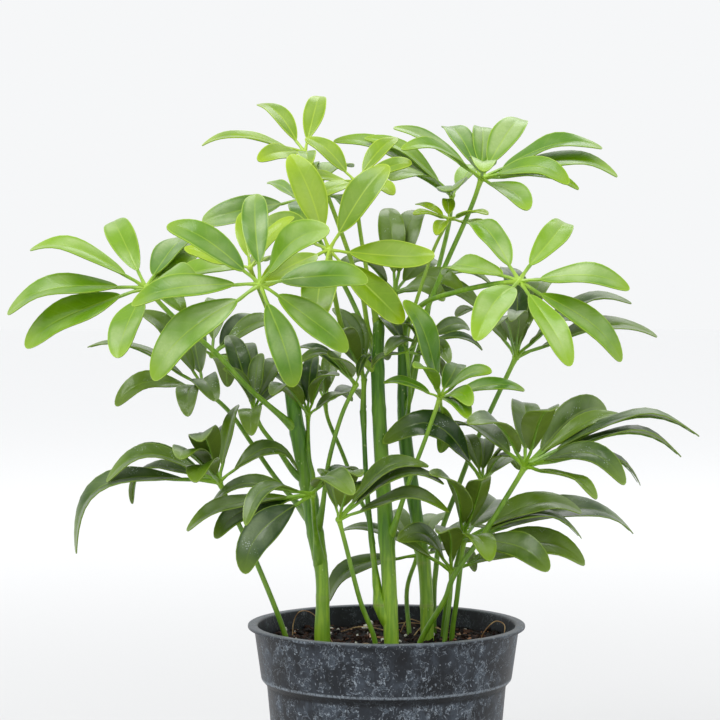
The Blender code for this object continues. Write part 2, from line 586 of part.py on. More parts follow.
def make_leaf(leaf, leaflets, stem):
    """A compound leaf: petiole and leaflets fused to its hub, the petiole's root cut to clasp the stem."""
    bm = bmesh.new()
    place = Matrix.Translation(shown(*leaf.hub))
    bmesh.ops.create_icosphere(bm, subdivisions=1, radius=HUB_RADIUS, matrix=place)
    thing = new_object(leaf.name, bm)
    parts = [stalk_sections(leaf)] + [leaflet.sections() for leaflet in leaflets]
    apply_boolean(thing, "UNION", [new_object("part_of_leaf", swept(part)) for part in parts])
    if stem:
        clasps = [new_object("clasp", swept(tube)) for tube in stem_tubes(stem, GAP)]
        apply_boolean(thing, "DIFFERENCE", clasps)
    finish(thing, leaf.age.colour, 0.35)


def main():
    """Builds the pot, the mix, the stems and the leaves."""
    for thing in list(bpy.data.objects):
        bpy.data.objects.remove(thing)
    stems = {stem.name: stem for stem in STEMS}
    chosen = lay_out(LEAVES, STEMS)
    make_pot()
    rooted = [stem_tubes(stem, GAP)[0] for stem in STEMS]
    rooted += [stalk_sections(leaf, GAP) for leaf in LEAVES if not leaf.stem]
    make_mix([new_object("hole", swept(sections)) for sections in rooted])
    for stem in STEMS:
        make_stem(stem)
    for leaf in LEAVES:
        make_leaf(leaf, chosen[leaf.name], stems.get(leaf.stem))


main()
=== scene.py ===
"""The looks of an umbrella plant, Schefflera arboricola, in a black nursery pot.

Each leaf is one piece: a petiole, its hub and a whorl of glossy leaflets. Lengths are in millimetres here
and become metres when a mesh is made. The pot stands on Z = 0 with its axis on Z, and the plant is seen
from -Y. X and Z of a leaf are given as they show on the upright plane through the pot's axis.
"""

import math
import random
from dataclasses import dataclass, field

import bmesh
import bpy
from mathutils import Matrix, Vector, noise
from mathutils.bvhtree import BVHTree


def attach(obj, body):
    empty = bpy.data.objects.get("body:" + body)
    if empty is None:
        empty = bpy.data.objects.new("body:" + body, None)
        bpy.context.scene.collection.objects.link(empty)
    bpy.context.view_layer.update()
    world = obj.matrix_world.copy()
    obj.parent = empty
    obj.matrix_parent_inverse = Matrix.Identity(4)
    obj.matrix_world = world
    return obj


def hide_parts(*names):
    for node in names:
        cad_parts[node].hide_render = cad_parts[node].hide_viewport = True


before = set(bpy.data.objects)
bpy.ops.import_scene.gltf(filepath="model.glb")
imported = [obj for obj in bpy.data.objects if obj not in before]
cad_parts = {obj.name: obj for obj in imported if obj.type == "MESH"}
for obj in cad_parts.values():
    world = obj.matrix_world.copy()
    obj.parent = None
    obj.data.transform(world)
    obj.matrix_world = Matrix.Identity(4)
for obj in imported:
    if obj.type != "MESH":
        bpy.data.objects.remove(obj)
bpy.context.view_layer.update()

METRES = 0.001
EYE = Vector((-10.3, -855.0, 222.5))
LENS = 110.0
FILM = 36.0
LOOK_DOWN = math.radians(1.66)

POT_HEIGHT = 95.0
LIP_RADIUS = 54.0
LIP_THICKNESS = 1.2
COLLAR_TOP_RADIUS = 51.6
COLLAR_FOOT_RADIUS = 48.8
COLLAR_DEPTH = 21.0
STEP_DEPTH = 2.4
BODY_TOP_RADIUS = 46.6
BASE_RADIUS = 40.0
POT_WALL = 1.4
POT_FLOOR = 1.8
POT_SIDES = 144
DRAIN_COUNT = 6
DRAIN_RADIUS = 4.0
DRAIN_SIDES = 32
DRAIN_RING = 29.0
COLLAR_FOOT = POT_HEIGHT - COLLAR_DEPTH
BODY_TOP = COLLAR_FOOT - STEP_DEPTH
LIP_FOOT = POT_HEIGHT - LIP_THICKNESS
GAP = 0.3
SHARP = math.radians(42)

MIX_TOP = 87.5
MIX_RELIEF = 0.9
MIX_SIDES = 120
MIX_RING_STEP = 1.3
CRUMBS = 1500
BARK_CHIPS = 150
PERLITE_GRAINS = 80
ROOTLET_RADIUS = 0.22

STEM_SIDES = 8
STALK_SIDES = 5
STALK_ROOT_RADIUS = 1.3
STALK_HUB_RADIUS = 1.0
HUB_RADIUS = 2.1
HUB_SIDES = 8
USUAL_REACH = 42.0
FINE_HUB_RADIUS = 1.5
FINE_STEM_SIDES = 20
FINE_STALK_SIDES = 12
FINE_RIB_SIDES = 6
RIB_POINTS = 15
NODE_SWELL = 0.08
BUD_STEPS = 5
SCALE_FORM = {"segments": 10, "radius1": 1.2, "radius2": 0.15, "depth": 4.2}
PLAIN_CLASP = 0.6
FOOT_CLASP = 0.35

BLADE_THICKNESS = 1.3
RIB_HALF_WIDTH = 0.6
TIP_HALF_WIDTH = 1.0
RIB_SHARE = 0.19
BLADE_ROWS = (0.0, 0.3, 0.6, 0.86, 1.0)
SMALL_BLADE_ROWS = (0.0, 0.42, 0.8, 1.0)
SMALL_LEAFLET = 32.0
CLEARANCE = 0.5
BENDS = (0, 3, -3, 6, -6, 9, -9, 12, -12, 16, -16, 20, -20, 25, -25, 30, -30, 36, -36)
MOST_TWIST = math.radians(3)
FULL_BOW = 0.4725

FINE_THICKNESS = 0.45
FINE_TIP_HALF_WIDTH = 0.14
FINE_COLUMNS = 8
FINE_ROWS = 18
COLUMN_CROWDING = 1.4
TIP_ROUNDING = 0.47
GROOVE_DEPTH = 0.09
GROOVE_SHARE = 0.05
MOST_SICKLE = 0.035
WAVE_HEIGHTS = (0.006, 0.02)
WAVE_COUNTS = (0.8, 1.6)
WIDTH_SPREAD = (1.0, 1.09)
MARKS = ("across", "along", "edge", "share", "tint", "under", "hub")

# What a leaf grows from: one of the stems, or the mix.
LEFT, CENTRE, RIGHT, MIX = "stem_left", "stem_centre", "stem_right", ""

# Each light's place, what it points at, its width and its power.
LIGHTS = {
    "key": ((-0.7, -0.9, 1.7), (0, 0, 0.15), 1.3, 22),
    "fill": ((1.3, -1.0, 0.9), (0, 0, 0.15), 1.0, 3),
    "back": ((0.3, 1.2, 1.5), (0, 0, 0.2), 0.9, 4),
}
FLOOR_RADIUS = 14000.0
SURROUND = (0.98, 0.99, 1.0, 1)
SURROUND_STRENGTH = 0.94

# Paints are red, green and blue from 0 to 255. A blade's painted sheen, specks and pale margin have
# strengths.
BLADES = {
    "young_leaf": dict(deep=(100, 138, 0), light=(146, 178, 0), tip=(164, 190, 24), rib=(172, 198, 56),
                       back=(120, 156, 0), sheen=(206, 218, 146), painted_sheen_share=0.14, specks=0.0, margin=0.8),
    "grown_leaf": dict(deep=(74, 121, 0), light=(118, 160, 0), tip=(147, 179, 26), rib=(156, 187, 60),
                       back=(112, 149, 20), sheen=(193, 208, 154), painted_sheen_share=0.42, specks=0.1, margin=0.7),
    "old_leaf": dict(deep=(28, 62, 2), light=(92, 122, 6), tip=(112, 140, 24), rib=(126, 154, 44),
                     back=(96, 120, 28), sheen=(162, 178, 138), painted_sheen_share=0.38, specks=0.8, margin=0.6),
}
# A petiole's paint, its light streaks, its dark patches and its fresh end.
STALKS = {
    "young_leaf": ((128, 166, 24), (168, 194, 66), (106, 148, 18), (176, 204, 62)),
    "grown_leaf": ((104, 150, 14), (150, 186, 52), (82, 128, 8), (164, 198, 62)),
    "old_leaf": ((92, 136, 14), (136, 174, 42), (70, 110, 12), (140, 182, 36)),
}


@dataclass
class Age:
    """How leaflets of one age look: bow and width per length, fold, wedge of the base, and slot."""
    arch: float
    width: float
    fold: float
    wedge: float
    slot: str


YOUNG = Age(0.08, 0.29, math.radians(10), 0.64, "young_leaf")
GROWN = Age(0.12, 0.27, math.radians(12), 0.58, "grown_leaf")
OLD = Age(0.19, 0.27, math.radians(13), 0.7, "old_leaf")


@dataclass
class Stem:
    """A stem: its radius at the foot and the top, its route as x, z, depth, and its side shoot."""
    name: str
    radii: tuple
    route: list
    shoot: list = field(default_factory=list)
    shoot_radii: tuple = (1.3, 0.9)


@dataclass
class Leaf:
    """A compound leaf. The whorl's near leaflets lean to the viewer and its far ones away.

    Each leaflet is given as its tip's x and z from the hub. Where they aren't plain, these follow: the
    degrees by which it turns its face to the viewer, and shares of its age's bow and width. The leaf's
    stalk is the petiole's route from the root to the hub, as x, z, depth.
    """
    name: str
    age: Age
    stem: str
    hub: tuple
    face: tuple
    reach: float
    near: list
    far: list
    stalk: list
    bow: float = 1.0


STEMS = [
    Stem(LEFT, (3.0, 2.8),
         [(-24, 62, -9), (-25, 88, -9), (-25, 112, -8), (-28, 132, -6), (-31, 151, -4), (-35, 172, -2),
          (-37, 187, 0), (-38, 196, 0)]),
    Stem(CENTRE, (3.0, 2.4),
         [(2.5, 62, -15), (2, 87, -14), (0.6, 120, -10), (-1.4, 151, -6), (-3.3, 188, -1), (-3, 211, 3)],
         shoot=[(1.5, 94, -13), (-2.6, 104, -11), (-4.9, 120, -7), (-7.6, 147, -3), (-9.1, 177.6, 0)]),
    Stem(RIGHT, (2.75, 2.1),
         [(17, 62, 5), (16, 89, 6), (15, 115, 8), (10.7, 143, 8), (6.8, 173, 7), (6.4, 209, 6)]),
]

LEAVES = [
    Leaf("leaf_top_left", YOUNG, CENTRE, (-31.7, 278, 20), (0, -0.45, 0.87), 34, bow=1.4,
         near=[(-18, -3, 30, 0.8, 0.85), (1, -6, 0, 1, 0.75)],
         far=[(-40, 3, -6, 1.25, 0.9), (-18, 19, -5, 1, 0.8), (6, 22, 0, 1, 0.82)],
         stalk=[(-3, 200, 1), (-7, 209, 6), (-10, 225, 9), (-20, 254, 16), (-26.6, 270, 19)]),
    Leaf("leaf_top_middle", YOUNG, CENTRE, (-12.2, 267, 5), (0, -0.6, 0.8), 27,
         near=[(-14, -6), (15, -5), (-21, 2, 0, 0.3), (22, 7, 20)], far=[(-19, 17, 0, 1, 1.15), (16, 17)],
         stalk=[(-3, 209, 3), (-5.6, 221, 4), (-10.3, 248, 5)]),
    Leaf("leaf_top_back", GROWN, RIGHT, (25.4, 261.7, 44), (-0.3, -0.4, 0.86), 38,
         near=[(0, 2, 0, 0.5, 1.25), (-24, 6, 20, 1, 1.15)],
         far=[(-26, 17, 10, 1, 0.7), (-46, 21, 10, 1, 0.65), (-34, 22, 10, 1, 0.75), (14, 10)],
         stalk=[(7, 184, 7), (14.6, 209, 20), (16.9, 221, 26), (20.8, 236, 34), (24.3, 251, 41)]),
    Leaf("leaf_top_small", YOUNG, RIGHT, (24.3, 252.4, 15), (0.1, -0.4, 0.9), 18,
         near=[(-5, -6), (-14, 2), (15, 2)], far=[(-1, 8), (-13, 6), (22, -6)],
         stalk=[(6.6, 204, 6), (9, 212, 7), (13, 225, 9), (18.5, 241, 13)]),
    Leaf("leaf_top_right", GROWN, RIGHT, (36.7, 268, 10), (0.1, -0.45, 0.9), 40,
         near=[(1, 3), (34, -2, 28, 1.3, 0.95), (38, -4, 0, 1, 0.85), (18, -12, 8, 0.5),
               (-31, 11.5, 10, 1.2, 0.8)],
         far=[(-14, 20, 0, 1, 0.9), (0, 20, 0, 1, 0.8), (16, 23), (47, 12, 2, 1.1, 0.9),
              (53, 1, 4, 1.15, 0.95), (-34, 20, 0, 0.6, 0.85)],
         stalk=[(6.7, 191, 7), (9.4, 200, 9), (14, 213, 11), (22, 232.6, 12), (32.4, 256, 11)]),
    Leaf("leaf_left_front", GROWN, LEFT, (-49.1, 227.2, -58), (-0.05, -0.75, 0.65), 42,
         near=[(-50, -8, 0, 1, 0.8), (-42, -37, 0, 0.8, 1.1), (13, -40), (34, -26, 0, 0.9, 1.12),
               (42, 1.5, 0, 0.9, 1.15), (27, 21, 12, 1, 1.15)],
         far=[(-1.5, 35, 0, 1, 0.92), (-36, 23, 0, 1.1, 1.1)],
         stalk=[(-37.8, 193, 0), (-39, 200, -10), (-43, 212, -32), (-47, 221, -48)]),
    Leaf("leaf_centre_young", YOUNG, CENTRE, (-22.3, 240.4, -22), (-0.1, -0.75, 0.65), 40,
         near=[(29, -28, 0, -0.3, 1.05), (-5, -28, 0, 1, 1.15), (-26, -14), (41, -2, 0, -0.4, 1.1)],
         far=[(-15, 37, 0, 1, 1.1), (23, 33, 0, 1, 1.12), (-27, 10, 15, 0.8, 1.1)],
         stalk=[(-3.6, 193, 0), (-8.4, 197, -3), (-16, 207, -8), (-20, 222, -15)]),
    Leaf("leaf_left_high", GROWN, LEFT, (-93.4, 225.6, -20), (-0.3, -0.55, 0.8), 43, bow=1.25,
         near=[(-54, -10, 5, 1, 0.9), (-47, -23, 20, 0.75), (-11, -27, 0, 0.4, 1.1), (21, -2),
               (15, -9, 0, 1, 0.8)],
         far=[(-45, 15, -10, 1.2, 0.85), (-12.5, 26, 0, 1, 0.9), (17, 20, 0, 0.55, 1.15),
              (23, 15, 25, 0.5, 1.2), (38, 8, 0, 0.5, 1.15)],
         stalk=[(-34.5, 169.5, -2), (-40, 175, -5), (-53.8, 187, -9), (-66.6, 200.7, -13),
                (-82.2, 214, -17)]),
    Leaf("leaf_right_front", GROWN, RIGHT, (51.5, 228.3, -48), (0.1, -0.75, 0.65), 44, bow=1.2,
         near=[(43, -3, 0, 0.9, 0.9), (40, -31, 0, 0.75, 0.87), (20, -33, 0, 0.65, 0.95), (-17, -23)],
         far=[(-19, 23, 0, 0.8, 0.9), (-29, 3, 0, 0.9), (18, 22.5, 0, 1, 0.85)],
         stalk=[(6.4, 203, 6), (8, 212, -1), (15, 220, -11), (26.6, 224, -23), (40, 227, -37)]),
    Leaf("leaf_centre_back", OLD, RIGHT, (3.3, 223.7, 40), (0, -0.3, 1), 38,
         near=[(-22, 10), (19, -3, 30), (26, 1, 30), (33, -6, 20)],
         far=[(-3, 33), (10, 32), (17, 11, 30), (38, 3)],
         stalk=[(6.4, 207, 6), (5.5, 212, 17), (4.5, 218, 30)]),
    Leaf("leaf_right_back", OLD, MIX, (50.3, 198.8, 30), (0.1, -0.1, 1), 46,
         near=[(-10, 11, 0, 1, 0.65), (-2, 14, 0, 1, 0.6), (5, 13, 0, 1, 0.6), (32, 12, 30)],
         far=[(55, 8, 10, 0.7), (45, 21, 10, 0.9), (-23, 16), (-5, 35, 0, 1, 0.8), (14, 30, 0, 1, 0.8)],
         stalk=[(18.5, 72, 18), (18.5, 104, 18), (19.2, 115, 18), (21.2, 130, 19), (27.8, 148, 21),
                (33.2, 162, 23), (41.4, 180, 27)]),
    Leaf("leaf_right_small", OLD, RIGHT, (13.4, 204.6, 0), (0.1, -0.3, 0.95), 24,
         near=[(24, -3), (11, -8, 30), (-14, -5)], far=[(19, 5, 30), (-10, 7)],
         stalk=[(7, 177, 7), (10, 186, 3), (12, 196, 1)]),
    Leaf("leaf_centre_right", GROWN, CENTRE, (20.8, 183, -16), (0.1, -0.5, 0.86), 30,
         near=[(12, -3, 30), (11, -8), (20, 10, 20), (-10, 12)],
         far=[(33, 3), (-14, 38), (7, 13), (-22, 6), (0, -21)],
         stalk=[(1.3, 128, -9), (4.1, 136, -13), (8.7, 150, -15), (15, 166.6, -16)]),
    Leaf("leaf_right_low", OLD, MIX, (53.8, 156.1, -26), (0.25, -0.3, 0.9), 46, bow=0.75,
         near=[(28, -12.5, 3, 0.6, 0.6), (39, -7, 25, 1.6, 0.95), (10, 22, 30), (-22, 17)],
         far=[(-32, 14), (-2, 25), (32, 22, 45), (39, 20, 0, 1, 0.6), (68, 12, -13, 1.3, 0.8),
              (61, 4, -10, 1.4, 0.8), (45, -7, -5, 1.5, 0.85)],
         stalk=[(10, 72, -6), (13.4, 88, -8), (22.7, 104, -12), (26.6, 114, -14), (39, 131.6, -19),
                (46, 143, -22), (51.5, 152, -25)]),
    Leaf("leaf_right_lowest", OLD, MIX, (30.1, 127.3, -8), (0.15, -0.35, 0.9), 42, bow=0.8,
         near=[(46, 11, 7, 1.25, 1.05), (-13, 26), (33, -12, 34, 0.95, 1.1), (10, -8), (7, 24, 20)],
         far=[(13, 13), (66, 3, 0, 1.15, 0.8), (46, 1, -5, 1.55, 0.85)],
         stalk=[(26, 72, -1), (25.6, 90, -2), (27.4, 104, -4), (29, 118, -6)]),
    Leaf("leaf_right_inner", OLD, MIX, (37.5, 150.2, -3), (0, -0.3, 0.95), 36,
         near=[(-39, 15, 40, 1.8), (12, 10), (15, 15)], far=[(0, 16), (14, 5), (-8, 18)],
         stalk=[(21, 72, 14), (23, 100, 12), (27.8, 120, 7), (32.4, 139, 0)]),
    Leaf("leaf_low_centre", OLD, MIX, (25.4, 115.3, -3), (0, -0.35, 0.93), 34,
         near=[(-21, 12, 45), (-5, 15), (31, 3)], far=[(-43, 16, 0, 0.8, 0.55), (1, 14), (52, 3, 20)],
         stalk=[(21.5, 72, -5), (22.7, 88, -5), (24.7, 104, -4)]),
    Leaf("leaf_low_back", OLD, MIX, (12.2, 121.5, 34), (-0.1, -0.2, 0.95), 36,
         near=[], far=[(-35, -18, 20), (30, 8), (10, 14), (-12, 16), (22, -6)],
         stalk=[(10, 72, 20), (9, 90, 22), (8, 108, 28)]),
    Leaf("leaf_left_low", OLD, MIX, (-65.1, 150.2, -22), (-0.25, -0.3, 0.92), 42,
         near=[(-15, 9, 20, 0.8), (-9, 0, 0, 0.8), (-7, 16)],
         far=[(-56, -28, 8, 1.75, 0.8), (-39, 6, 5, 1.4, 0.6), (-44, 0, 5, 1.3), (-34, -8.5, 0, 1.6, 0.65),
              (-2, 17), (7, 30, -20, 0.4, 0.65), (31, 4, 22, 1.8)],
         stalk=[(-36, 72, -7), (-39.4, 90, -9), (-50.3, 118, -14), (-60, 139, -19)]),
    Leaf("leaf_left_inner", OLD, LEFT, (-28.9, 145.2, -32), (-0.25, -0.35, 0.9), 42,
         near=[(-26, -12, 10, 1.3, 0.75), (-26, -31, 50, 1, 1.15), (16, 0), (-38, -17, 30, 0.7, 0.9)],
         far=[(-40, -5, 5, 1, 0.9), (-49, -14, 0, 0.6, 0.9), (18, 8)],
         stalk=[(-26, 118, -7.5), (-27, 126, -11.5), (-28, 134, -18), (-28.4, 140, -25)]),
    Leaf("leaf_middle_low", OLD, MIX, (-18.5, 135.5, -32), (0.1, -0.35, 0.9), 36,
         near=[(5, 10), (8, 17)],
         far=[(41, 14, 0, 1.35, 0.8), (35, 21, 0, 1.2, 1), (43, 3, 0, 1, 0.85), (-8, 20)],
         stalk=[(-4, 72, -20), (-4.5, 88, -21), (-10.3, 104, -24), (-16, 126, -29)]),
    Leaf("leaf_left_thin", OLD, LEFT, (-30.5, 176, 2), (-0.1, -0.2, 1), 26,
         near=[(-14, 8), (12, 16)], far=[(-8, 20), (3, 24), (17, 6)],
         stalk=[(-29.5, 143, -5), (-28.6, 152, -10), (-30, 159, -9), (-30.5, 168, -3)]),
    Leaf("leaf_middle_thin", OLD, CENTRE, (-23.9, 181, 26), (0.1, -0.2, 1), 28,
         near=[(-4, 12)], far=[(5, 20), (15, 1), (-10, 14)],
         stalk=[(-5.4, 126, -6), (-7.2, 137, 6), (-11, 145, 13), (-17, 161, 20), (-22.5, 174, 25)]),
    Leaf("leaf_left_upper", OLD, LEFT, (-51.5, 177.4, 0), (-0.1, -0.4, 0.9), 34,
         near=[(-12, 17, 20), (3, 23), (-1, -9)], far=[(-2, 27), (12, 20), (15, 7), (-10, 30)],
         stalk=[(-31, 150, -4), (-36, 154, -4), (-43, 164, -2), (-48.4, 171, 0)]),
    Leaf("leaf_left_middle", OLD, LEFT, (-71.3, 186.8, 26), (-0.2, -0.3, 0.93), 38,
         near=[(-6, -11), (-34, -7, 25), (5, -5)],
         far=[(-45, 16, -13, 0.75, 0.8), (-24, 30, 10, 0.6), (-2, 20)],
         stalk=[(-28.8, 136, -5), (-35, 142, 4), (-43.3, 152, 11), (-52.3, 165, 18), (-61, 177.4, 23)]),
    Leaf("leaf_centre_left", OLD, CENTRE, (-8.7, 190, 2), (-0.1, -0.2, 1), 31,
         near=[(-14, 16)], far=[(-5, 26), (-12, 28), (9, 8)],
         stalk=[(-9.1, 178, 0), (-8.9, 184, 1)]),
    Leaf("leaf_right_tuft", OLD, RIGHT, (8, 200.7, -12), (0, -0.3, 0.95), 20,
         near=[(-14, -6), (12, 8)], far=[(-10, 12), (14, -10)],
         stalk=[(6.8, 171, 7), (8.5, 178, -2), (9, 188, -9)]),
    Leaf("leaf_left_back", OLD, LEFT, (-67.8, 199.6, 40), (0, -0.2, 0.98), 36,
         near=[], far=[(17, 15.5, 20, 0.3), (30, 10, 20), (3, 21), (-17, 0), (6, -12)],
         stalk=[(-37.2, 188, 0), (-43, 192, 14), (-54, 197, 30)]),
    Leaf("leaf_middle_high", OLD, LEFT, (-12, 188, -15), (0, -0.3, 0.95), 30,
         near=[(-10, 11, 20, 0.5, 1.1), (-22, 9, 10, 1.2, 0.8)], far=[(6, 12), (-24, 14, 0, 1, 0.8)],
         stalk=[(-27.6, 130, -6.4), (-25, 140, -12), (-22.5, 158, -17), (-17.5, 176, -17.5)]),
    Leaf("leaf_back_high", GROWN, CENTRE, (-33.6, 259.8, 38), (-0.2, -0.45, 0.87), 38,
         near=[(-38, -8.5, 35, 0.2, 1.1), (1, -10)],
         far=[(-12.5, 7, 0, 0.2, 0.5), (20, 13, 0, 1, 1.2), (6, 14), (19, -4)],
         stalk=[(-3.2, 195, 0), (-6, 203, 9), (-14, 222, 22), (-27, 246, 34)]),
    Leaf("leaf_left_young", YOUNG, LEFT, (-53, 233.4, -27), (-0.1, -0.6, 0.8), 27,
         near=[], far=[(-25.5, 8, 10, 0.1, 0.9), (-2.5, 22, 0, 0.6, 0.8), (17, 20, 0, 1, 0.9), (6, 3)],
         stalk=[(-37.9, 194, 0), (-41, 204, -3), (-47, 219, -13)]),
]

# How much paler or darker than others of its age a leaf is.
TONES = {"leaf_centre_right": -0.5, "leaf_centre_back": 0.7, "leaf_middle_high": -0.2,
         "leaf_back_high": -0.3, "leaf_middle_low": -0.35, "leaf_left_inner": -0.3, "leaf_left_young": 0.5,
         "leaf_top_left": -0.3, "leaf_top_small": 0.6, "leaf_centre_young": -0.3}

# The heights on each stem where older petioles have dropped.
DROPPED = {LEFT: [106, 122], CENTRE: [104, 122.3], RIGHT: [101, 117.5]}

# How far a petiole's root flares: less on the thin side shoot, more where a sheath clasps the stem.
CLASPS = {"leaf_middle_thin": 0.25, "leaf_centre_left": 0.25, "leaf_left_inner": 1.5,
          "leaf_middle_high": 1.2, "leaf_left_middle": 2.1, "leaf_centre_right": 0.9, "leaf_left_high": 0.9}

# The radius of each stem and of the side shoot at a few heights.
GIRTHS = {
    LEFT: [(62, 3.1), (92, 3.1), (105, 2.6), (118, 2.6), (129, 3.2), (163, 3.1), (186, 2.85), (198, 2.6)],
    CENTRE: [(62, 2.9), (124, 2.9), (132, 3.3), (141, 3.0), (163, 2.85), (190, 2.65), (203, 2.3),
             (212, 2.2)],
    RIGHT: [(62, 2.6), (120, 2.6), (138, 2.6), (145, 2.85), (166, 2.75), (178, 2.3), (190, 2.1), (210, 2.0)],
    "shoot": [(94, 2.3), (99, 3.0), (104, 2.9), (110, 1.8), (119, 1.15), (168, 0.95), (175, 1.3),
              (178, 1.3)],
}

# Rootlets on the mix: x, y and height above it along each strand.
ROOTLETS = [
    [(-37, 12, 0), (-36.5, 11, 6), (-34, 9, 10.5), (-29, 5, 10), (-24, 0, 5), (-20, -4, -0.5)],
    [(-26, 4, 8), (-27, 3, 4), (-26.5, 1, -0.5)],
    [(-47.5, -9, 0), (-48.3, -10, 2.5), (-48.5, -10.5, 5.2), (-47.8, -10, 6)],
    [(6, 26, 0), (9, 24, 6), (15, 20, 4), (24, 14, 2), (30, 8, -0.5)],
    [(11, 14, 0), (14, 17, 3), (17, 20, 5)],
    [(36, -2, 0), (38, -6, 6), (42, -8, 10.5), (45.5, -9, 9), (44.5, -11, 4), (41, -13, 3.5),
     (39, -14, -0.5)],
    [(31, -16, 0), (35, -13, 4), (38, -11, 3), (40, -12, -0.5)],
    [(34, -20, 0), (39, -22, 1.2), (43, -19, 0.8), (40, -15, 0.5)],
    [(-12, -12, 0), (-8, -18, 2), (-4, -21, 1.6), (-1, -25, -0.3)],
    [(-18, 20, 0), (-10, 24, 2), (-2, 20, 3), (4, 24, -0.3)],
    [(20, -28, 0), (25, -31, 1.6), (31, -29, 2), (35, -24, -0.3)],
    [(-34, -22, 0), (-28, -27, 1.4), (-20, -26, 1), (-14, -30, -0.3)],
    [(24, 30, 0), (18, 34, 2), (8, 36, 1.6), (0, 33, -0.3)],
]


def shown(x, z, depth):
    """The point at a depth that shows at x, z on the upright plane through the pot's axis."""
    scale = (depth - EYE.y) / -EYE.y
    return Vector((EYE.x + (x - EYE.x) * scale, depth, EYE.z + (z - EYE.z) * scale))


def smooth_route(points, per_span):
    """Points along a smooth curve through the given ones."""
    ends = [points[0] * 2 - points[1]] + points + [points[-1] * 2 - points[-2]]
    route = []
    for a, b, c, d in zip(ends, ends[1:], ends[2:], ends[3:]):
        for step in range(per_span):
            t = step / per_span
            route.append(0.5 * (2 * b + (c - a) * t + (2 * a - 5 * b + 4 * c - d) * t**2
                                + (3 * b - a - 3 * c + d) * t**3))
    return route + [points[-1]]


def eased(value, low, high):
    """0 below low, 1 above high, and a smooth rise between them."""
    share = min(max((value - low) / (high - low), 0), 1)
    return share * share * (3 - 2 * share)


def peak(distance, width):
    """1 at no distance, falling smoothly to nothing past a few widths."""
    return math.exp(-(distance / width)**2)


def tube_sections(route, radii, sides):
    """Rings round a route, from one radius to another."""
    sections = []
    side = Vector((1, 0, 0))
    for index, point in enumerate(route):
        along = (route[min(index + 1, len(route) - 1)] - route[max(index - 1, 0)]).normalized()
        side = (side - along * side.dot(along)).normalized()
        across = along.cross(side)
        radius = radii[0] + (radii[1] - radii[0]) * index / (len(route) - 1)
        turns = [math.tau * k / sides for k in range(sides)]
        ring = [side * math.cos(turn) + across * math.sin(turn) for turn in turns]
        sections.append([point + spoke * radius for spoke in ring])
    return sections


class Leaflet:
    """One leaflet's curve: it rises from the hub, is widest past its middle, and droops to its tip."""

    def __init__(self, leaf, tip, twist, bow, width):
        self.age = leaf.age
        self.hub = shown(*leaf.hub)
        self.run = tip - self.hub
        self.twist = twist
        face = Vector(leaf.face).normalized()
        self.lift = (face - self.run * (face.dot(self.run) / self.run.length_squared)).normalized()
        self.bow = self.age.arch * leaf.bow * bow * self.run.length / FULL_BOW
        self.half_width = self.age.width * width * self.run.length / 2

    def middle(self, t):
        """The point on the midrib at a share of the way from the hub to the tip."""
        return self.hub + self.run * t + self.lift * self.bow * (t - t**4)

    def turned(self, t):
        """The directions across the leaflet and out of its upper face."""
        along = (self.run + self.lift * self.bow * (1 - 4 * t**3)).normalized()
        side = Matrix.Rotation(self.twist * min(3 * t, 1), 3, along) @ along.cross(self.lift).normalized()
        return side, side.cross(along)

    def sections(self, grow=0.0):
        """Four-point sections, the plain form that leaflets are laid out with."""
        rows = BLADE_ROWS if self.run.length > SMALL_LEAFLET else SMALL_BLADE_ROWS
        sections = []
        for t in [0.0] + [RIB_SHARE + (1 - RIB_SHARE) * s for s in rows]:
            s = max(0.0, (t - RIB_SHARE) / (1 - RIB_SHARE))
            swell = math.sin(math.pi * min(s, 0.999)**1.1)**0.7 if s > 0 else 0
            narrowest = RIB_HALF_WIDTH + (TIP_HALF_WIDTH - RIB_HALF_WIDTH) * s
            half = max(self.half_width * swell, narrowest) + grow
            side, up = self.turned(t)
            middle = self.middle(t)
            edge = side * half * math.cos(self.age.fold)
            raised = up * half * math.sin(self.age.fold)
            thick = up * (BLADE_THICKNESS / 2 + grow)
            sections.append([middle - edge + raised, middle + thick, middle + edge + raised,
                             middle - thick])
        return sections


def tree_of(sections):
    """A search tree of the solid that sections bound."""
    count = len(sections[0])
    points = [point for section in sections for point in section]
    faces = [tuple(range(count)), tuple(range(len(points) - count, len(points)))]
    for row in range(len(sections) - 1):
        for k in range(count):
            a, b = row * count + k, row * count + (k + 1) % count
            faces.append((a, b, b + count, a + count))
    return BVHTree.FromPolygons(points, faces)


def stem_tubes(stem):
    """The plain sections of a stem and of its side shoot, if it has one."""
    tubes = []
    for route, radii in ((stem.route, stem.radii), (stem.shoot, stem.shoot_radii)):
        if route:
            tubes.append(tube_sections([shown(*point) for point in route], radii, STEM_SIDES))
    return tubes


def stalk_sections(leaf):
    """The plain sections of a leaf's petiole, from its root to its hub."""
    route = [shown(*point) for point in leaf.stalk + [leaf.hub]]
    line = smooth_route(route, 2) if len(route) < 5 else route
    return tube_sections(line, (STALK_ROOT_RADIUS, STALK_HUB_RADIUS), STALK_SIDES)


def hub_sections(leaf):
    """Two rings that bound a leaf's hub."""
    hub = shown(*leaf.hub)
    rise = Vector((0, 0, HUB_RADIUS))
    return tube_sections([hub - rise, hub + rise], (HUB_RADIUS, HUB_RADIUS), HUB_SIDES)


def leaflet_plan(leaf, side, x, z, turn=0, bow=1.0, width=1.0):
    """A leaflet's tip as x, z and depth, before it is bent clear of its neighbours, its twist and form."""
    depth = side * math.sqrt(max(leaf.reach**2 - x * x - z * z, 0))
    twist = math.radians(turn) * math.copysign(1, x)
    return leaf.hub[0] + x, leaf.hub[1] + z, leaf.hub[2] + depth, twist, bow, width


def leaflet_plans(leaf):
    """The plans of a leaf's near leaflets and of its far ones."""
    return ([leaflet_plan(leaf, -1, *terms) for terms in leaf.near]
            + [leaflet_plan(leaf, 1, *terms) for terms in leaf.far])


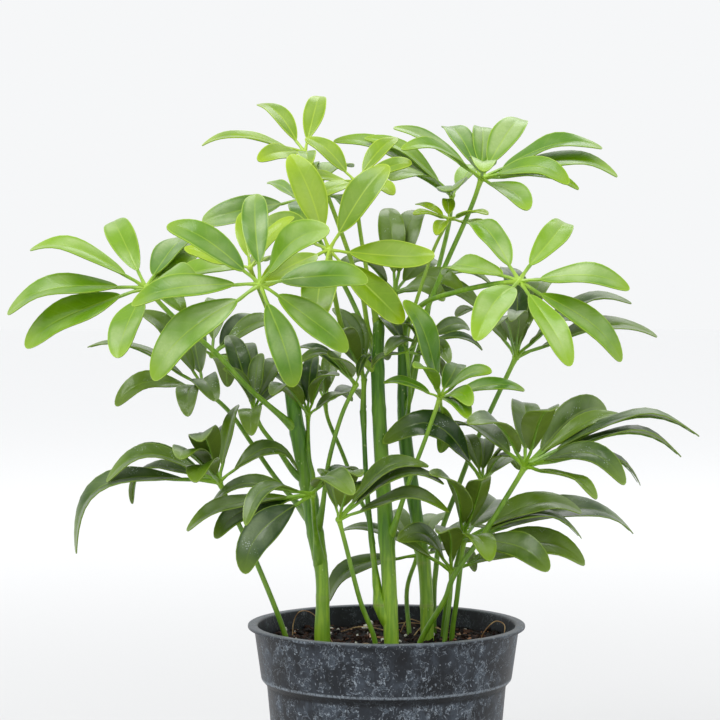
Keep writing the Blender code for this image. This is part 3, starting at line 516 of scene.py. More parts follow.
def lay_out(leaves, stems):
    """Each leaf's leaflets, bent in depth until they are clear of what was placed before."""
    fixed = [tree_of(tube) for stem in stems for tube in stem_tubes(stem)]
    placed = {leaf.name: [tree_of(stalk_sections(leaf)), tree_of(hub_sections(leaf))] for leaf in leaves}
    chosen = {}
    for leaf in leaves:
        draw = random.Random(leaf.name)
        others = fixed + [tree for name, trees in placed.items() if name != leaf.name for tree in trees]
        chosen[leaf.name] = []
        own = []
        for x, z, depth, twist, bow, width in leaflet_plans(leaf):
            twist += draw.uniform(-MOST_TWIST, MOST_TWIST)
            best = None
            for bend in BENDS:
                leaflet = Leaflet(leaf, shown(x, z, depth + bend), twist, bow, width)
                tested = leaflet.sections(CLEARANCE)
                whole = tree_of(tested)
                if any(whole.overlap(tree) for tree in others):
                    continue
                best = best or leaflet
                blade = tree_of(tested[2:])
                if not any(blade.overlap(tree) for tree in own):
                    best = leaflet
                    break
            if best is None:
                continue
            chosen[leaf.name].append(best)
            sections = best.sections()
            placed[leaf.name].append(tree_of(sections))
            own.append(tree_of(sections[1:]))
    return chosen


class Level:
    """A number that varies over a surface. Sums and products of levels add Math nodes."""

    def __init__(self, finish, socket):
        self.finish = finish
        self.socket = socket

    def joined(self, operation, first, second):
        node = self.finish.add("ShaderNodeMath", {"operation": operation}, {0: first, 1: second})
        return Level(self.finish, node.outputs[0])

    def __add__(self, other):
        return self.joined("ADD", self, other)

    def __sub__(self, other):
        return self.joined("SUBTRACT", self, other)

    def __rsub__(self, other):
        return self.joined("SUBTRACT", other, self)

    def __mul__(self, other):
        return self.joined("MULTIPLY", self, other)

    def __mod__(self, other):
        return self.joined("FLOORED_MODULO", self, other)

    def __abs__(self):
        return self.joined("ABSOLUTE", self, 0)

    __radd__ = __add__
    __rmul__ = __mul__

    def between(self, low, high):
        """0 at low, 1 at high, and a smooth rise between them. Low may be the greater."""
        node = self.finish.add("ShaderNodeMapRange", {"interpolation_type": "SMOOTHSTEP"},
                               {"Value": self, "From Min": low, "From Max": high})
        return Level(self.finish, node.outputs[0])


class Finish:
    """A material whose look is made of nodes."""

    def __init__(self, name, **constants):
        self.material = bpy.data.materials.new(name)
        self.material.use_nodes = True
        self.tree = self.material.node_tree
        self.shader = self.tree.nodes["Principled BSDF"]
        for socket, value in constants.items():
            self.shader.inputs[socket.replace("_", " ")].default_value = value

    def add(self, kind, settings, sockets):
        """Adds a node. Its settings come first, then the values or links of its sockets."""
        node = self.tree.nodes.new(kind)
        for name, value in settings.items():
            setattr(node, name, value)
        for name, value in sockets.items():
            self.join(node.inputs[name], value)
        return node

    def join(self, socket, value):
        """Gives a socket a value or a link."""
        value = value.socket if isinstance(value, Level) else value
        if isinstance(value, bpy.types.NodeSocket):
            self.tree.links.new(value, socket)
        else:
            socket.default_value = value

    def mark(self, name):
        """A number that is stored on the mesh."""
        node = self.add("ShaderNodeAttribute", {"attribute_name": name}, {})
        return Level(self, node.outputs["Fac"])

    def place(self, stretch=(1, 1, 1)):
        """The place on the object in millimetres, squeezed along its axes."""
        where = self.add("ShaderNodeTexCoord", {}, {}).outputs["Object"]
        scale = [share / METRES for share in stretch]
        return self.add("ShaderNodeMapping", {}, {"Vector": where, "Scale": scale}).outputs[0]

    def height(self):
        """The height on the object in millimetres."""
        split = self.add("ShaderNodeSeparateXYZ", {}, {"Vector": self.place()})
        return Level(self, split.outputs["Z"])

    def clouds(self, size, detail=2.0, stretch=(1, 1, 1), roughness=0.5, swirl=0.0):
        """Soft noise from 0 to 1, with spots of about the given size in millimetres."""
        node = self.add("ShaderNodeTexNoise", {}, {
            "Vector": self.place(stretch), "Scale": 1 / size, "Detail": detail, "Roughness": roughness,
            "Distortion": swirl})
        return Level(self, node.outputs["Fac"])

    def cells(self, size, stretch=(1, 1, 1), warp=0.0):
        """Distances in a pattern of cells of about the given size in millimetres."""
        where = self.place(stretch)
        if warp:
            shift = self.add("ShaderNodeTexNoise", {}, {"Vector": where, "Scale": 1 / size, "Detail": 2.0})
            grown = self.add("ShaderNodeVectorMath", {"operation": "SCALE"},
                             {0: shift.outputs["Color"], "Scale": warp * size})
            where = self.add("ShaderNodeVectorMath", {"operation": "ADD"},
                             {0: where, 1: grown.outputs[0]}).outputs[0]
        node = self.add("ShaderNodeTexVoronoi", {}, {"Vector": where, "Scale": 1 / size})
        return Level(self, node.outputs["Distance"])

    def blend(self, share, first, second):
        """One colour or paint turning into another as share goes from 0 to 1."""
        ends = {0: share, 6: linear(first), 7: linear(second)}
        return self.add("ShaderNodeMix", {"data_type": "RGBA"}, ends).outputs[2]

    def painted(self, ground, *coats):
        """A colour under coats of paint. Each coat gives the share that it covers, and its paint."""
        for share, shade in coats:
            ground = self.blend(share, ground, shade)
        return ground

    def raised(self, height, depth):
        """Relief of a height from 0 to 1, with its full depth in millimetres."""
        bump = self.add("ShaderNodeBump", {}, {"Height": height, "Distance": depth * METRES})
        self.join(self.shader.inputs["Normal"], bump.outputs[0])

    def wear(self, colour, roughness):
        """Sets the colour and the roughness, and gives back the material."""
        self.join(self.shader.inputs["Base Color"], colour)
        self.join(self.shader.inputs["Roughness"], roughness)
        return self.material


def linear(shade):
    """A paint of three screen values from 0 to 255 as a linear colour. Anything else stays as it is."""
    if not isinstance(shade, tuple) or len(shade) > 3:
        return shade
    shares = [value / 255 for value in shade]
    return (*[s / 12.92 if s <= 0.04045 else ((s + 0.055) / 1.055)**2.4 for s in shares], 1)


def blade_finish(name, deep, light, tip, rib, back, sheen, painted_sheen_share, specks, margin):
    """A leaflet's finish: mottled green with whitish patches of painted sheen, paler midrib and margin,
    faint side veins, a matt underside.
    """
    finish = Finish(name, Coat_Weight=0.34, Coat_Roughness=0.17, Specular_IOR_Level=0.28)
    across, along, share = finish.mark("across"), finish.mark("along"), finish.mark("share")
    under, tint, edge = finish.mark("under"), finish.mark("tint"), finish.mark("edge")
    off_rib = abs(across)
    mottle = finish.clouds(13, detail=3)
    grain = finish.clouds(1.2, detail=3, roughness=0.7)
    tone = (tint * 0.7 + mottle * 0.75 - 0.2).between(0.05, 1.0)
    # Whitish patches of painted sheen, a painted highlight on the upper face that fades out at the margin
    # and the tip.
    painted_sheen = finish.clouds(19, detail=2).between(0.38, 0.72) * edge.between(0.2, 1.8)
    painted_sheen = painted_sheen * share.between(1.02, 0.7) * (0.6 + grain * 0.8)
    slant = (along * 0.2 - off_rib * 0.17 + finish.clouds(5) * 0.35) % 1
    vein = abs(slant - 0.5).between(0.16, 0.02) * off_rib.between(0.4, 1.8)
    scale = finish.cells(0.8, warp=0.4).between(0.34, 0.12) * finish.clouds(7, detail=3).between(0.55, 0.72)
    green = finish.painted(
        finish.blend(tone, deep, light),
        (share.between(0.72, 1.02) * 0.55, tip),
        (painted_sheen * painted_sheen_share, sheen),
        (vein * 0.05, rib),
        (off_rib.between(0.42, 0.1) * share.between(1.0, 0.45) * 0.5, rib),
        (edge.between(0.5, 0.12) * margin, rib))
    bottom = finish.painted(
        back,
        (off_rib.between(0.9, 0.3) * 0.5 + vein * 0.12, rib),
        (mottle.between(0.3, 0.8) * 0.25, deep),
        ((tint - 0.9).between(0.0, 0.8) * 0.6, light))
    colour = finish.painted(green, (under, bottom), (scale * specks * (1 - under), (196, 206, 200)))
    finish.raised(mottle * 0.5 + grain * 0.12 - vein * 0.1, 0.35)
    return finish.wear(colour, 0.33 + mottle * 0.12 + painted_sheen * 0.1 + under * 0.25 + scale * (0.4 * specks))


def stalk_finish(name, body, light, shade, fresh):
    """A petiole's finish: fine lengthwise streaks, and fresher green where the leaflets join."""
    finish = Finish(name, Coat_Weight=0.15, Coat_Roughness=0.3)
    streaks = finish.clouds(1.6, detail=2, stretch=(1, 1, 0.09))
    colour = finish.painted(
        body,
        (streaks.between(0.35, 0.7) * 0.5, light),
        (finish.clouds(14, detail=2).between(0.45, 0.75) * 0.5, shade),
        (finish.mark("hub") * 0.8, fresh))
    finish.raised(streaks, 0.12)
    return finish.wear(colour, 0.36 + streaks * 0.16)


def stem_finish():
    """A stem's finish: dark green above, paler and ribbed below, brown scars at its nodes and its foot."""
    finish = Finish("green_stem_skin", Coat_Weight=0.15, Coat_Roughness=0.3)
    streaks = finish.clouds(1.2, detail=3, stretch=(1, 1, 0.05))
    patches = finish.clouds(15, detail=2, stretch=(1, 1, 0.5))
    fibres = finish.clouds(0.9, detail=2, stretch=(1, 1, 0.06)).between(0.5, 0.64)
    pores = finish.cells(1.7, stretch=(1, 1, 0.6)).between(0.2, 0.09) * finish.clouds(9).between(0.5, 0.6)
    node, low = finish.mark("node"), finish.height()
    scar = node.between(0.88, 0.98) * finish.clouds(1.2).between(0.35, 0.6)
    foot = (low + patches * 10).between(99, 90)
    ribbed = finish.blend(streaks.between(0.36, 0.66), (110, 156, 12), (146, 186, 34))
    colour = finish.painted(
        finish.blend(streaks.between(0.34, 0.7), (58, 106, 4), (88, 138, 12)),
        (patches.between(0.48, 0.72) * 0.5, (122, 162, 26)),
        ((low + patches * 22).between(150, 118), ribbed),
        (node.between(0.35, 0.9) * 0.35, (150, 166, 76)),
        (scar * 0.6, (114, 92, 52)),
        (pores * 0.5, (190, 206, 130)),
        (foot * fibres * 0.6, (128, 106, 60)))
    finish.raised(streaks * 0.8 + pores * 0.3 + foot * fibres * 0.4, 0.25)
    return finish.wear(colour, 0.34 + streaks * 0.2 + foot * 0.2)


def sheath_finish():
    """The papery scales that clasp the stem at each petiole's root."""
    finish = Finish("papery_scale")
    grain = finish.clouds(0.8, detail=3, stretch=(1, 1, 0.15))
    colour = finish.painted(
        finish.blend(grain.between(0.3, 0.7), (122, 128, 50), (168, 158, 92)),
        (finish.clouds(3).between(0.5, 0.7) * 0.7, (112, 88, 52)))
    finish.raised(grain, 0.15)
    return finish.wear(colour, 0.55 + grain * 0.2)


def pot_finish(name, lime):
    """Black moulded plastic under dried hard water: a fine mottle, rimmed flakes, short runs and specks."""
    finish = Finish(name, Specular_IOR_Level=0.22)
    height = finish.height()
    worn = finish.clouds(17, detail=3, roughness=0.6)
    fine = finish.clouds(0.8, detail=3, roughness=0.65)
    smear = finish.clouds(6, detail=5, stretch=(1, 1, 0.7), roughness=0.62, swirl=0.5)
    smear = smear.between(0.4, 0.68) * worn.between(0.25, 0.6)
    patch = finish.clouds(3.6, detail=3, roughness=0.55, swirl=0.7)
    rim = patch.between(0.555, 0.575) * patch.between(0.605, 0.585) * fine.between(0.4, 0.56)
    rim = rim * worn.between(0.38, 0.5)
    flake = patch.between(0.56, 0.6) * worn.between(0.4, 0.56)
    dash = finish.clouds(0.95, detail=3, stretch=(1, 1, 0.32), roughness=0.6, swirl=0.5).between(0.57, 0.63)
    dash = dash * finish.clouds(9, detail=2, stretch=(1, 1, 0.6)).between(0.47, 0.6)
    thread = finish.clouds(1.9, detail=3, roughness=0.6, swirl=1.2)
    thread = thread.between(0.56, 0.575) * thread.between(0.6, 0.585) * finish.clouds(8).between(0.5, 0.62)
    ring_cell = finish.cells(7, warp=0.5)
    ring = ring_cell.between(0.24, 0.28) * ring_cell.between(0.34, 0.3) * fine.between(0.42, 0.58)
    ring = ring * finish.clouds(17, detail=2).between(0.46, 0.56)
    speck = finish.cells(1.2, warp=0.6).between(0.24, 0.08) * finish.clouds(5, detail=3).between(0.5, 0.62)
    lip = height.between(LIP_FOOT + 0.5, POT_HEIGHT - 0.1)
    above = height - COLLAR_FOOT
    # A painted highlight: a pale line along the collar's foot edge, broken up by fine noise and as strong as
    # the lime.
    edge = above.between(-0.5, 0.1) * above.between(1, 0.5)
    # A painted shadow: a dark band just under the collar's step.
    painted_step_shadow = above.between(-4, -2.6) * above.between(0, -0.6)
    colour = finish.painted(
        finish.blend(worn.between(0.3, 0.7), (24, 26, 30), (38, 42, 48)),
        (smear * (0.15 + fine * 0.5) * lime, (88, 98, 110)),
        (flake * fine.between(0.35, 0.6) * (0.4 * lime), (108, 120, 132)),
        (dash * (0.6 * lime), (132, 142, 152)),
        ((rim + thread) * (0.75 * lime), (160, 170, 180)),
        (ring * (0.5 * lime), (140, 150, 162)),
        (speck * (0.65 * lime), (186, 194, 200)),
        (painted_step_shadow * 0.75, (12, 13, 16)),
        (edge * fine.between(0.3, 0.6) * (0.7 * lime), (140, 149, 158)),
        (lip * (0.2 + fine * 0.35), (120, 128, 136)))
    coat = smear * 0.3 + flake * 0.5 + dash * 0.5 + rim + thread + ring + speck
    finish.raised(coat * (0.5 * lime) + fine * 0.18, 0.25)
    return finish.wear(colour, 0.4 + coat * (0.16 * lime))


def soil_finish(name, dark, light):
    """Damp peaty mix: dark crumbs with lighter fibres."""
    finish = Finish(name, Specular_IOR_Level=0.2)
    grain = finish.clouds(1.3, detail=4, roughness=0.65)
    colour = finish.blend((grain * 0.7 + finish.mark("tint") * 0.45).between(0.35, 0.95), dark, light)
    finish.raised(grain, 0.8)
    return finish.wear(colour, 0.6 + grain * 0.3)


def chip_finish():
    """Bark and fibre chips, from dark brown to tan and pinkish."""
    finish = Finish("bark_chip")
    tint = finish.mark("tint")
    fibre = finish.clouds(0.7, detail=3, stretch=(0.4, 1, 1))
    colour = finish.painted(
        finish.blend(tint.between(0.25, 0.75), (84, 52, 34), (176, 128, 92)),
        (tint.between(0.8, 1.0), (214, 176, 150)),
        (fibre.between(0.45, 0.7) * 0.5, (48, 30, 20)))
    finish.raised(fibre, 0.3)
    return finish.wear(colour, 0.7 + fibre * 0.2)


def perlite_finish():
    """Perlite: white foamed grains with dirt in their pores."""
    finish = Finish("perlite")
    pits = finish.cells(0.45)
    dirt = finish.clouds(1.5, detail=3).between(0.52, 0.75)
    colour = finish.blend(pits.between(0.2, 0.6), (206, 202, 190), (242, 240, 234))
    finish.raised(pits, 0.25)
    return finish.wear(finish.blend(dirt * 0.6, colour, (132, 108, 84)), 0.8 + dirt * 0.1)


def rootlet_finish():
    """Dry rootlets: tan, with browner stretches."""
    finish = Finish("dry_rootlet")
    stretch = finish.clouds(5, detail=3)
    finish.raised(finish.clouds(0.5, detail=2), 0.15)
    return finish.wear(finish.blend(stretch.between(0.35, 0.7), (140, 106, 68), (206, 176, 126)),
                       0.65 + stretch * 0.15)


def made_mesh(name, bm):
    """The mesh in metres of a shape in millimetres, smooth but for its sharp edges."""
    bmesh.ops.scale(bm, vec=(METRES,) * 3, verts=bm.verts)
    mesh = bpy.data.meshes.new(name)
    bm.to_mesh(mesh)
    bm.free()
    mesh.shade_smooth()
    mesh.set_sharp_from_angle(angle=SHARP)
    return mesh


def new_piece(name, bm, materials, node):
    """Makes a piece of a shape. It rides on the plant and stands for a node of the frame."""
    mesh = made_mesh(name, bm)
    for material in materials:
        mesh.materials.append(material)
    piece = bpy.data.objects.new(name, mesh)
    bpy.context.scene.collection.objects.link(piece)
    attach(piece, "root")
    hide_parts(node)
    return piece


def evaluated_mesh(thing):
    """A new mesh of an object with its modifiers or its curve's form applied."""
    return bpy.data.meshes.new_from_object(thing.evaluated_get(bpy.context.evaluated_depsgraph_get()))


def take_second_finish(verts):
    """Gives the faces round some vertices their piece's second finish."""
    for face in {face for vert in verts for face in vert.link_faces}:
        face.material_index = 1


def add_tubes(bm, lines, sides, material_index=0):
    """Adds round capped tubes to a mesh. Each line gives its points and the radius at each."""
    curve = bpy.data.curves.new("tubes", "CURVE")
    curve.dimensions = "3D"
    curve.bevel_depth = 1.0
    curve.bevel_resolution = sides // 2 - 2
    curve.use_fill_caps = True
    for points, radii in lines:
        spline = curve.splines.new("POLY")
        spline.points.add(len(points) - 1)
        for knot, point, radius in zip(spline.points, points, radii):
            knot.co = (*point, 1)
            knot.radius = radius
    thing = bpy.data.objects.new("tubes", curve)
    bpy.context.scene.collection.objects.link(thing)
    mesh = evaluated_mesh(thing)
    before = len(bm.faces)
    bm.from_mesh(mesh)
    bm.faces.ensure_lookup_table()
    for face in bm.faces[before:]:
        face.material_index = material_index
    bpy.data.objects.remove(thing)
    bpy.data.curves.remove(curve)
    bpy.data.meshes.remove(mesh)


def blade_outline(s, wedge):
    """A blade's half width as a share of its greatest: a wedge at the base, widest near the middle."""
    swell = math.sin(math.pi * min(max(s, 0.0), 1.0)**1.05)
    return max(swell, 0.0)**(wedge + (TIP_ROUNDING - wedge) * eased(s, 0.3, 0.9))


def lay_blade(bm, marks, leaflet, tone, draw):
    """Lays one fine blade: a grid bent to the leaflet's curve, folded at its midrib, with a waved margin."""
    grid = bmesh.ops.create_grid(bm, x_segments=FINE_COLUMNS, y_segments=FINE_ROWS, size=1)
    tint, phase, waves = tone + draw.random(), draw.uniform(0, math.tau), draw.uniform(*WAVE_COUNTS)
    sickle = draw.uniform(-MOST_SICKLE, MOST_SICKLE) * leaflet.run.length
    wave_height = draw.uniform(*WAVE_HEIGHTS) * leaflet.run.length
    widest = leaflet.half_width * draw.uniform(*WIDTH_SPREAD)
    blade_length = leaflet.run.length * (1 - RIB_SHARE)
    for vert in grid["verts"]:
        w = math.copysign(abs(vert.co.x)**COLUMN_CROWDING, vert.co.x)
        s = 0.5 - 0.5 * math.cos(math.pi * (vert.co.y + 1) / 2)
        t = RIB_SHARE + (1 - RIB_SHARE) * s
        half = max(widest * blade_outline(s, leaflet.age.wedge), FINE_TIP_HALF_WIDTH)
        side, up = leaflet.turned(t)
        fold = leaflet.age.fold * (1 + 0.5 * s - 1.15 * eased(s, 0.65, 1.0))
        cup = math.sin(fold) * (1.3 * abs(w) - 0.5 * w * w) * half
        wave = wave_height * math.sin(phase + waves * math.tau * s + (0.9 if w > 0 else 0)) * abs(w)**3
        groove = GROOVE_DEPTH * (abs(w) < GROOVE_SHARE) * math.sin(math.pi * s)
        lift = cup + wave * math.sin(math.pi * s) - groove
        sway = side * sickle * math.sin(math.pi * s)
        vert.co = leaflet.middle(t) + sway + side * half * w * math.cos(fold) + up * lift
        vert[marks["across"]] = w * half
        vert[marks["along"]] = s * blade_length
        vert[marks["edge"]] = min((1 - abs(w)) * half, (1 - s) * blade_length * 0.8)
        vert[marks["share"]] = s
        vert[marks["tint"]] = tint
    return list({face for vert in grid["verts"] for face in vert.link_faces}), sickle


def rib_line(leaflet, sickle):
    """A leaflet's stalk, running on as the raised rib under its blade."""
    size = (leaflet.run.length / USUAL_REACH)**0.5
    points, radii = [], []
    for step in range(RIB_POINTS):
        t = 0.98 * (step / (RIB_POINTS - 1))**1.15
        s = max(0.0, (t - RIB_SHARE) / (1 - RIB_SHARE))
        side, up = leaflet.turned(t)
        swollen = 0.4 * peak(t, 0.06) + 0.12 * peak(t - RIB_SHARE, 0.04)
        radius = (0.62 - 0.5 * s**0.7 + swollen) * size
        under = (radius * 0.55 + FINE_THICKNESS) * eased(t, RIB_SHARE * 0.5, RIB_SHARE * 1.3)
        points.append(leaflet.middle(t) + side * sickle * math.sin(math.pi * s) - up * under)
        radii.append(max(radius, 0.1))
    return points, radii


def petiole_line(leaf):
    """A petiole's points and radii: a little thicker where it leaves the stem, and again at the hub."""
    points = smooth_route([shown(*point) for point in leaf.stalk + [leaf.hub]], 6)
    size = (leaf.reach / USUAL_REACH)**0.4
    flare = CLASPS.get(leaf.name, PLAIN_CLASP) if leaf.stem else FOOT_CLASP
    radii = []
    from_root = 0.0
    whole = sum((b - a).length for a, b in zip(points, points[1:]))
    for index, point in enumerate(points):
        from_root += (point - points[index - 1]).length if index else 0
        to_hub = whole - from_root
        radius = 1.1 - 0.2 * from_root / whole + 0.34 * peak(to_hub, 2.4)
        radii.append(radius * size + flare * peak(from_root, 9))
    return points, radii


def make_whorl(leaf, leaflets, blades, stalks):
    """A compound leaf: blades of a real thickness on their ribs, round a hub at the petiole's end."""
    bm = bmesh.new()
    marks = {name: bm.verts.layers.float.new(name) for name in MARKS}
    draw = random.Random(leaf.name + " blades")
    blade_faces, ribs = [], []
    for leaflet in leaflets:
        faces, sickle = lay_blade(bm, marks, leaflet, TONES.get(leaf.name, 0), draw)
        blade_faces += faces
        ribs.append(rib_line(leaflet, sickle))
    upper = set(bm.verts)
    bmesh.ops.solidify(bm, geom=blade_faces, thickness=FINE_THICKNESS)
    for vert in bm.verts:
        if vert not in upper:
            vert[marks["under"]] = 1
    bmesh.ops.recalc_face_normals(bm, faces=bm.faces)
    place = Matrix.Translation(shown(*leaf.hub))
    radius = FINE_HUB_RADIUS * (leaf.reach / USUAL_REACH)**0.5
    take_second_finish(bmesh.ops.create_icosphere(bm, subdivisions=3, radius=radius, matrix=place)["verts"])
    add_tubes(bm, ribs, FINE_RIB_SIDES, 1)
    add_tubes(bm, [petiole_line(leaf)], FINE_STALK_SIDES, 1)
    for vert in bm.verts:
        vert[marks["hub"]] = peak((vert.co - place.translation).length, 7)
    name = leaf.name.replace("leaf_", "whorl_")
    new_piece(name, bm, [blades, stalks], leaf.name)


def girth(table, height):
    """The radius at a height, by a table of heights and radii."""
    for (low, first), (high, second) in zip(table, table[1:]):
        if height < high:
            return first + (second - first) * eased(height, low, high)
    return table[-1][1]


def make_cane(stem, skin, scale):
    """A stem with swollen nodes, its side shoot, a blunt bud at its top, and a scale at each node."""
    bm = bmesh.new()
    roots = [leaf.stalk for leaf in LEAVES if leaf.stem == stem.name]
    nodes = [shown(*stalk[0]).z for stalk in roots] + DROPPED[stem.name]
    for route, table in ((stem.route, GIRTHS[stem.name]), (stem.shoot, GIRTHS["shoot"])):
        if not route:
            continue
        points = smooth_route([shown(*point) for point in route], 14)
        sizes = []
        for point in points:
            ring = sum(peak(point.z - node, 1.4) for node in nodes)
            sizes.append(girth(table, point.z) * (1 + NODE_SWELL * min(ring, 1)))
        way = (points[-1] - points[-2]).normalized()
        last = sizes[-1]
        for step in range(1, BUD_STEPS + 1):
            points.append(points[-1] + way * last * 0.3)
            sizes.append(last * math.cos(math.pi / 2 * min(step / BUD_STEPS, 0.97)))
        add_tubes(bm, [(points, sizes)], FINE_STEM_SIDES)
    for stalk in roots:
        add_scale(bm, shown(*stalk[0]), shown(*stalk[1]))
    mark = bm.verts.layers.float.new("node")
    for vert in bm.verts:
        vert[mark] = max(peak(vert.co.z - node, 1.2) for node in DROPPED[stem.name])
    name = stem.name.replace("stem_", "cane_")
    new_piece(name, bm, [skin, scale], stem.name)


def add_scale(bm, root, ahead):
    """Adds the short papery scale that stands in the angle between a petiole and its stem."""
    aside = ahead - root
    aside.z = 0
    if aside.length < 0.5:
        return
    middle = root + aside.normalized() * 2.1 + Vector((0, 0, 3.2))
    lean = Vector((0, 0, 1)).lerp(aside.normalized(), 0.25).to_track_quat("Z", "Y").to_matrix().to_4x4()
    shape = Matrix.Diagonal((1, 0.6, 1, 1))
    made = bmesh.ops.create_cone(bm, cap_ends=True, matrix=Matrix.Translation(middle) @ lean @ shape,
                                 **SCALE_FORM)
    take_second_finish(made["verts"])


def lathed(profile, sides):
    """A closed shape of a radius and height profile turned round Z."""
    bm = bmesh.new()
    verts = [bm.verts.new((radius, 0, height)) for radius, height in profile]
    edges = [bm.edges.new(pair) for pair in zip(verts, verts[1:])]
    bmesh.ops.spin(bm, geom=verts + edges, cent=(0, 0, 0), axis=(0, 0, 1), angle=math.tau,
                   steps=sides, use_merge=True)
    bmesh.ops.remove_doubles(bm, verts=bm.verts, dist=0.01)
    bmesh.ops.recalc_face_normals(bm, faces=bm.faces)
    return bm


def wall_radius(height):
    """The inside radius of the pot at a height."""
    if height > COLLAR_FOOT:
        share = (height - COLLAR_FOOT) / COLLAR_DEPTH
        return COLLAR_FOOT_RADIUS + (COLLAR_TOP_RADIUS - COLLAR_FOOT_RADIUS) * share - POT_WALL
    return BASE_RADIUS + (BODY_TOP_RADIUS - BASE_RADIUS) * min(height / BODY_TOP, 1) - POT_WALL


def rounded(profile):
    """A profile of radius, height and rounding, with each corner rounded in a few short steps."""
    corners = [Vector(corner[:2]) for corner in profile]
    line = []
    for index, corner in enumerate(corners):
        rounding = profile[index][2]
        if not rounding:
            line.append(corner)
            continue
        back = (corners[index - 1] - corner).normalized() * rounding
        ahead = (corners[index + 1] - corner).normalized() * rounding
        line += [corner + back * (1 - t)**2 + ahead * t**2 for t in (0, 0.25, 0.5, 0.75, 1)]
    return [tuple(point) for point in line]


def make_pot(plastic, inside):
    """The pot: a tapered body, a step out to the collar, a rounded lip, and drain holes in its floor."""
    bm = lathed(rounded([
        (0, 0, 0), (BASE_RADIUS, 0, 1.6), (BODY_TOP_RADIUS, BODY_TOP, 0.5),
        (COLLAR_FOOT_RADIUS, COLLAR_FOOT, 0.45), (COLLAR_TOP_RADIUS, LIP_FOOT, 0.5),
        (LIP_RADIUS, LIP_FOOT, 0.45), (LIP_RADIUS, POT_HEIGHT, 0.45),
        (COLLAR_TOP_RADIUS - POT_WALL, POT_HEIGHT, 1.0), (COLLAR_FOOT_RADIUS - POT_WALL, COLLAR_FOOT, 0.9),
        (BODY_TOP_RADIUS - POT_WALL, BODY_TOP, 0.7), (wall_radius(POT_FLOOR), POT_FLOOR, 1.4),
        (0, POT_FLOOR, 0),
    ]), POT_SIDES)
    for face in bm.faces:
        middle = face.calc_center_median()
        inward = face.normal.dot(Vector((middle.x, middle.y, 0))) < 0
        face.material_index = int(inward or (middle.z > POT_FLOOR - 0.5 and middle.xy.length < BASE_RADIUS))
    pot = new_piece("nursery_pot", bm, [plastic, inside], "pot")
    bm = bmesh.new()
    for index in range(DRAIN_COUNT):
        turn = math.tau * index / DRAIN_COUNT
        centre = Vector((DRAIN_RING * math.cos(turn), DRAIN_RING * math.sin(turn), POT_FLOOR / 2))
        bmesh.ops.create_cone(bm, cap_ends=True, segments=DRAIN_SIDES, radius1=DRAIN_RADIUS,
                              radius2=DRAIN_RADIUS, depth=POT_FLOOR * 3, matrix=Matrix.Translation(centre))
    drains = bpy.data.objects.new("drains", made_mesh("drains", bm))
    modifier = pot.modifiers.new("Drains", "BOOLEAN")
    modifier.operation = "DIFFERENCE"
    modifier.object = drains
    modifier.solver = "EXACT"
    mesh = evaluated_mesh(pot)
    pot.modifiers.clear()
    pot.data = mesh
    mesh.shade_smooth()
    mesh.set_sharp_from_angle(angle=SHARP)
    bpy.data.objects.remove(drains)


def mix_height(x, y):
    """The height of the mix's uneven top."""
    waves = math.sin(x * 0.21 + 1.3) * math.cos(y * 0.17) + 0.6 * math.sin(x * 0.09 - y * 0.13)
    lumps = noise.fractal(Vector((x, y, 0)) * 0.16, 1.0, 2.0, 4) * 1.1
    return MIX_TOP + MIX_RELIEF * waves + lumps


def make_mix(soil):
    """The potting mix: it fills the pot to under its rim, with a lumpy top."""
    floor = POT_FLOOR + GAP
    top_radius = wall_radius(MIX_TOP) - GAP
    profile = [(0, floor), (wall_radius(floor) - GAP, floor), (wall_radius(BODY_TOP) - GAP, BODY_TOP),
               (wall_radius(COLLAR_FOOT + 0.1) - GAP, COLLAR_FOOT), (top_radius, MIX_TOP - 1.5)]
    rings = int(top_radius / MIX_RING_STEP)
    profile += [(top_radius * k / rings, MIX_TOP) for k in range(rings, -1, -1)]
    bm = lathed(profile, MIX_SIDES)
    for vert in bm.verts:
        if vert.co.z > MIX_TOP - 0.01:
            vert.co.z = mix_height(vert.co.x, vert.co.y)
    new_piece("potting_mix_bed", bm, [soil], "potting_mix")


def scatter(name, seed, count, sizes, flatness, depth, finish, chips=False):
    """Scatters grains or chips over the mix, each turned and shaped by a seeded draw."""
    draw = random.Random(seed)
    bm = bmesh.new()
    tint = bm.verts.layers.float.new("tint")
    reach = wall_radius(MIX_TOP) - 1.5
    for _ in range(count):
        radius, turn = reach * math.sqrt(draw.random()), draw.uniform(0, math.tau)
        size = sizes[0] + (sizes[1] - sizes[0]) * draw.random()**2.2
        x, y = radius * math.cos(turn), radius * math.sin(turn)
        tilt = Matrix.Rotation(draw.uniform(0, math.tau), 4, "Z")
        tilt = tilt @ Matrix.Rotation(draw.gauss(0, 0.3), 4, "X")
        tilt = tilt @ Matrix.Rotation(draw.gauss(0, 0.3), 4, "Y")
        if chips:
            stretch = draw.uniform(1.6, 3.2), draw.uniform(0.5, 0.9), draw.uniform(0.2, 0.4)
        else:
            stretch = draw.uniform(0.8, 1.3), draw.uniform(0.8, 1.1), flatness
        shape = Matrix.Diagonal((*[size * share for share in stretch], 1))
        place = Matrix.Translation((x, y, mix_height(x, y) + size * depth)) @ tilt @ shape
        if chips:
            made = bmesh.ops.create_cube(bm, size=1, matrix=place)["verts"]
        else:
            made = bmesh.ops.create_icosphere(bm, subdivisions=1, radius=0.5, matrix=place)["verts"]
        shade = draw.random()
        for vert in made:
            vert[tint] = shade
            vert.co += Vector((draw.gauss(0, 1), draw.gauss(0, 1), draw.gauss(0, 1))) * size * 0.07
    new_piece(name, bm, [finish], "potting_mix")


def make_rootlets(finish):
    """Thin dry rootlets that loop over the mix."""
    bm = bmesh.new()
    lines = []
    for strand in ROOTLETS:
        knots = [Vector((x, y, mix_height(x, y) + rise)) for x, y, rise in strand]
        points = smooth_route(knots, 6)
        last = len(points) - 1
        radii = [ROOTLET_RADIUS * (1.15 - 0.6 * index / last) for index in range(len(points))]
        lines.append((points, radii))
    add_tubes(bm, lines, 6)
    new_piece("rootlets", bm, [finish], "potting_mix")


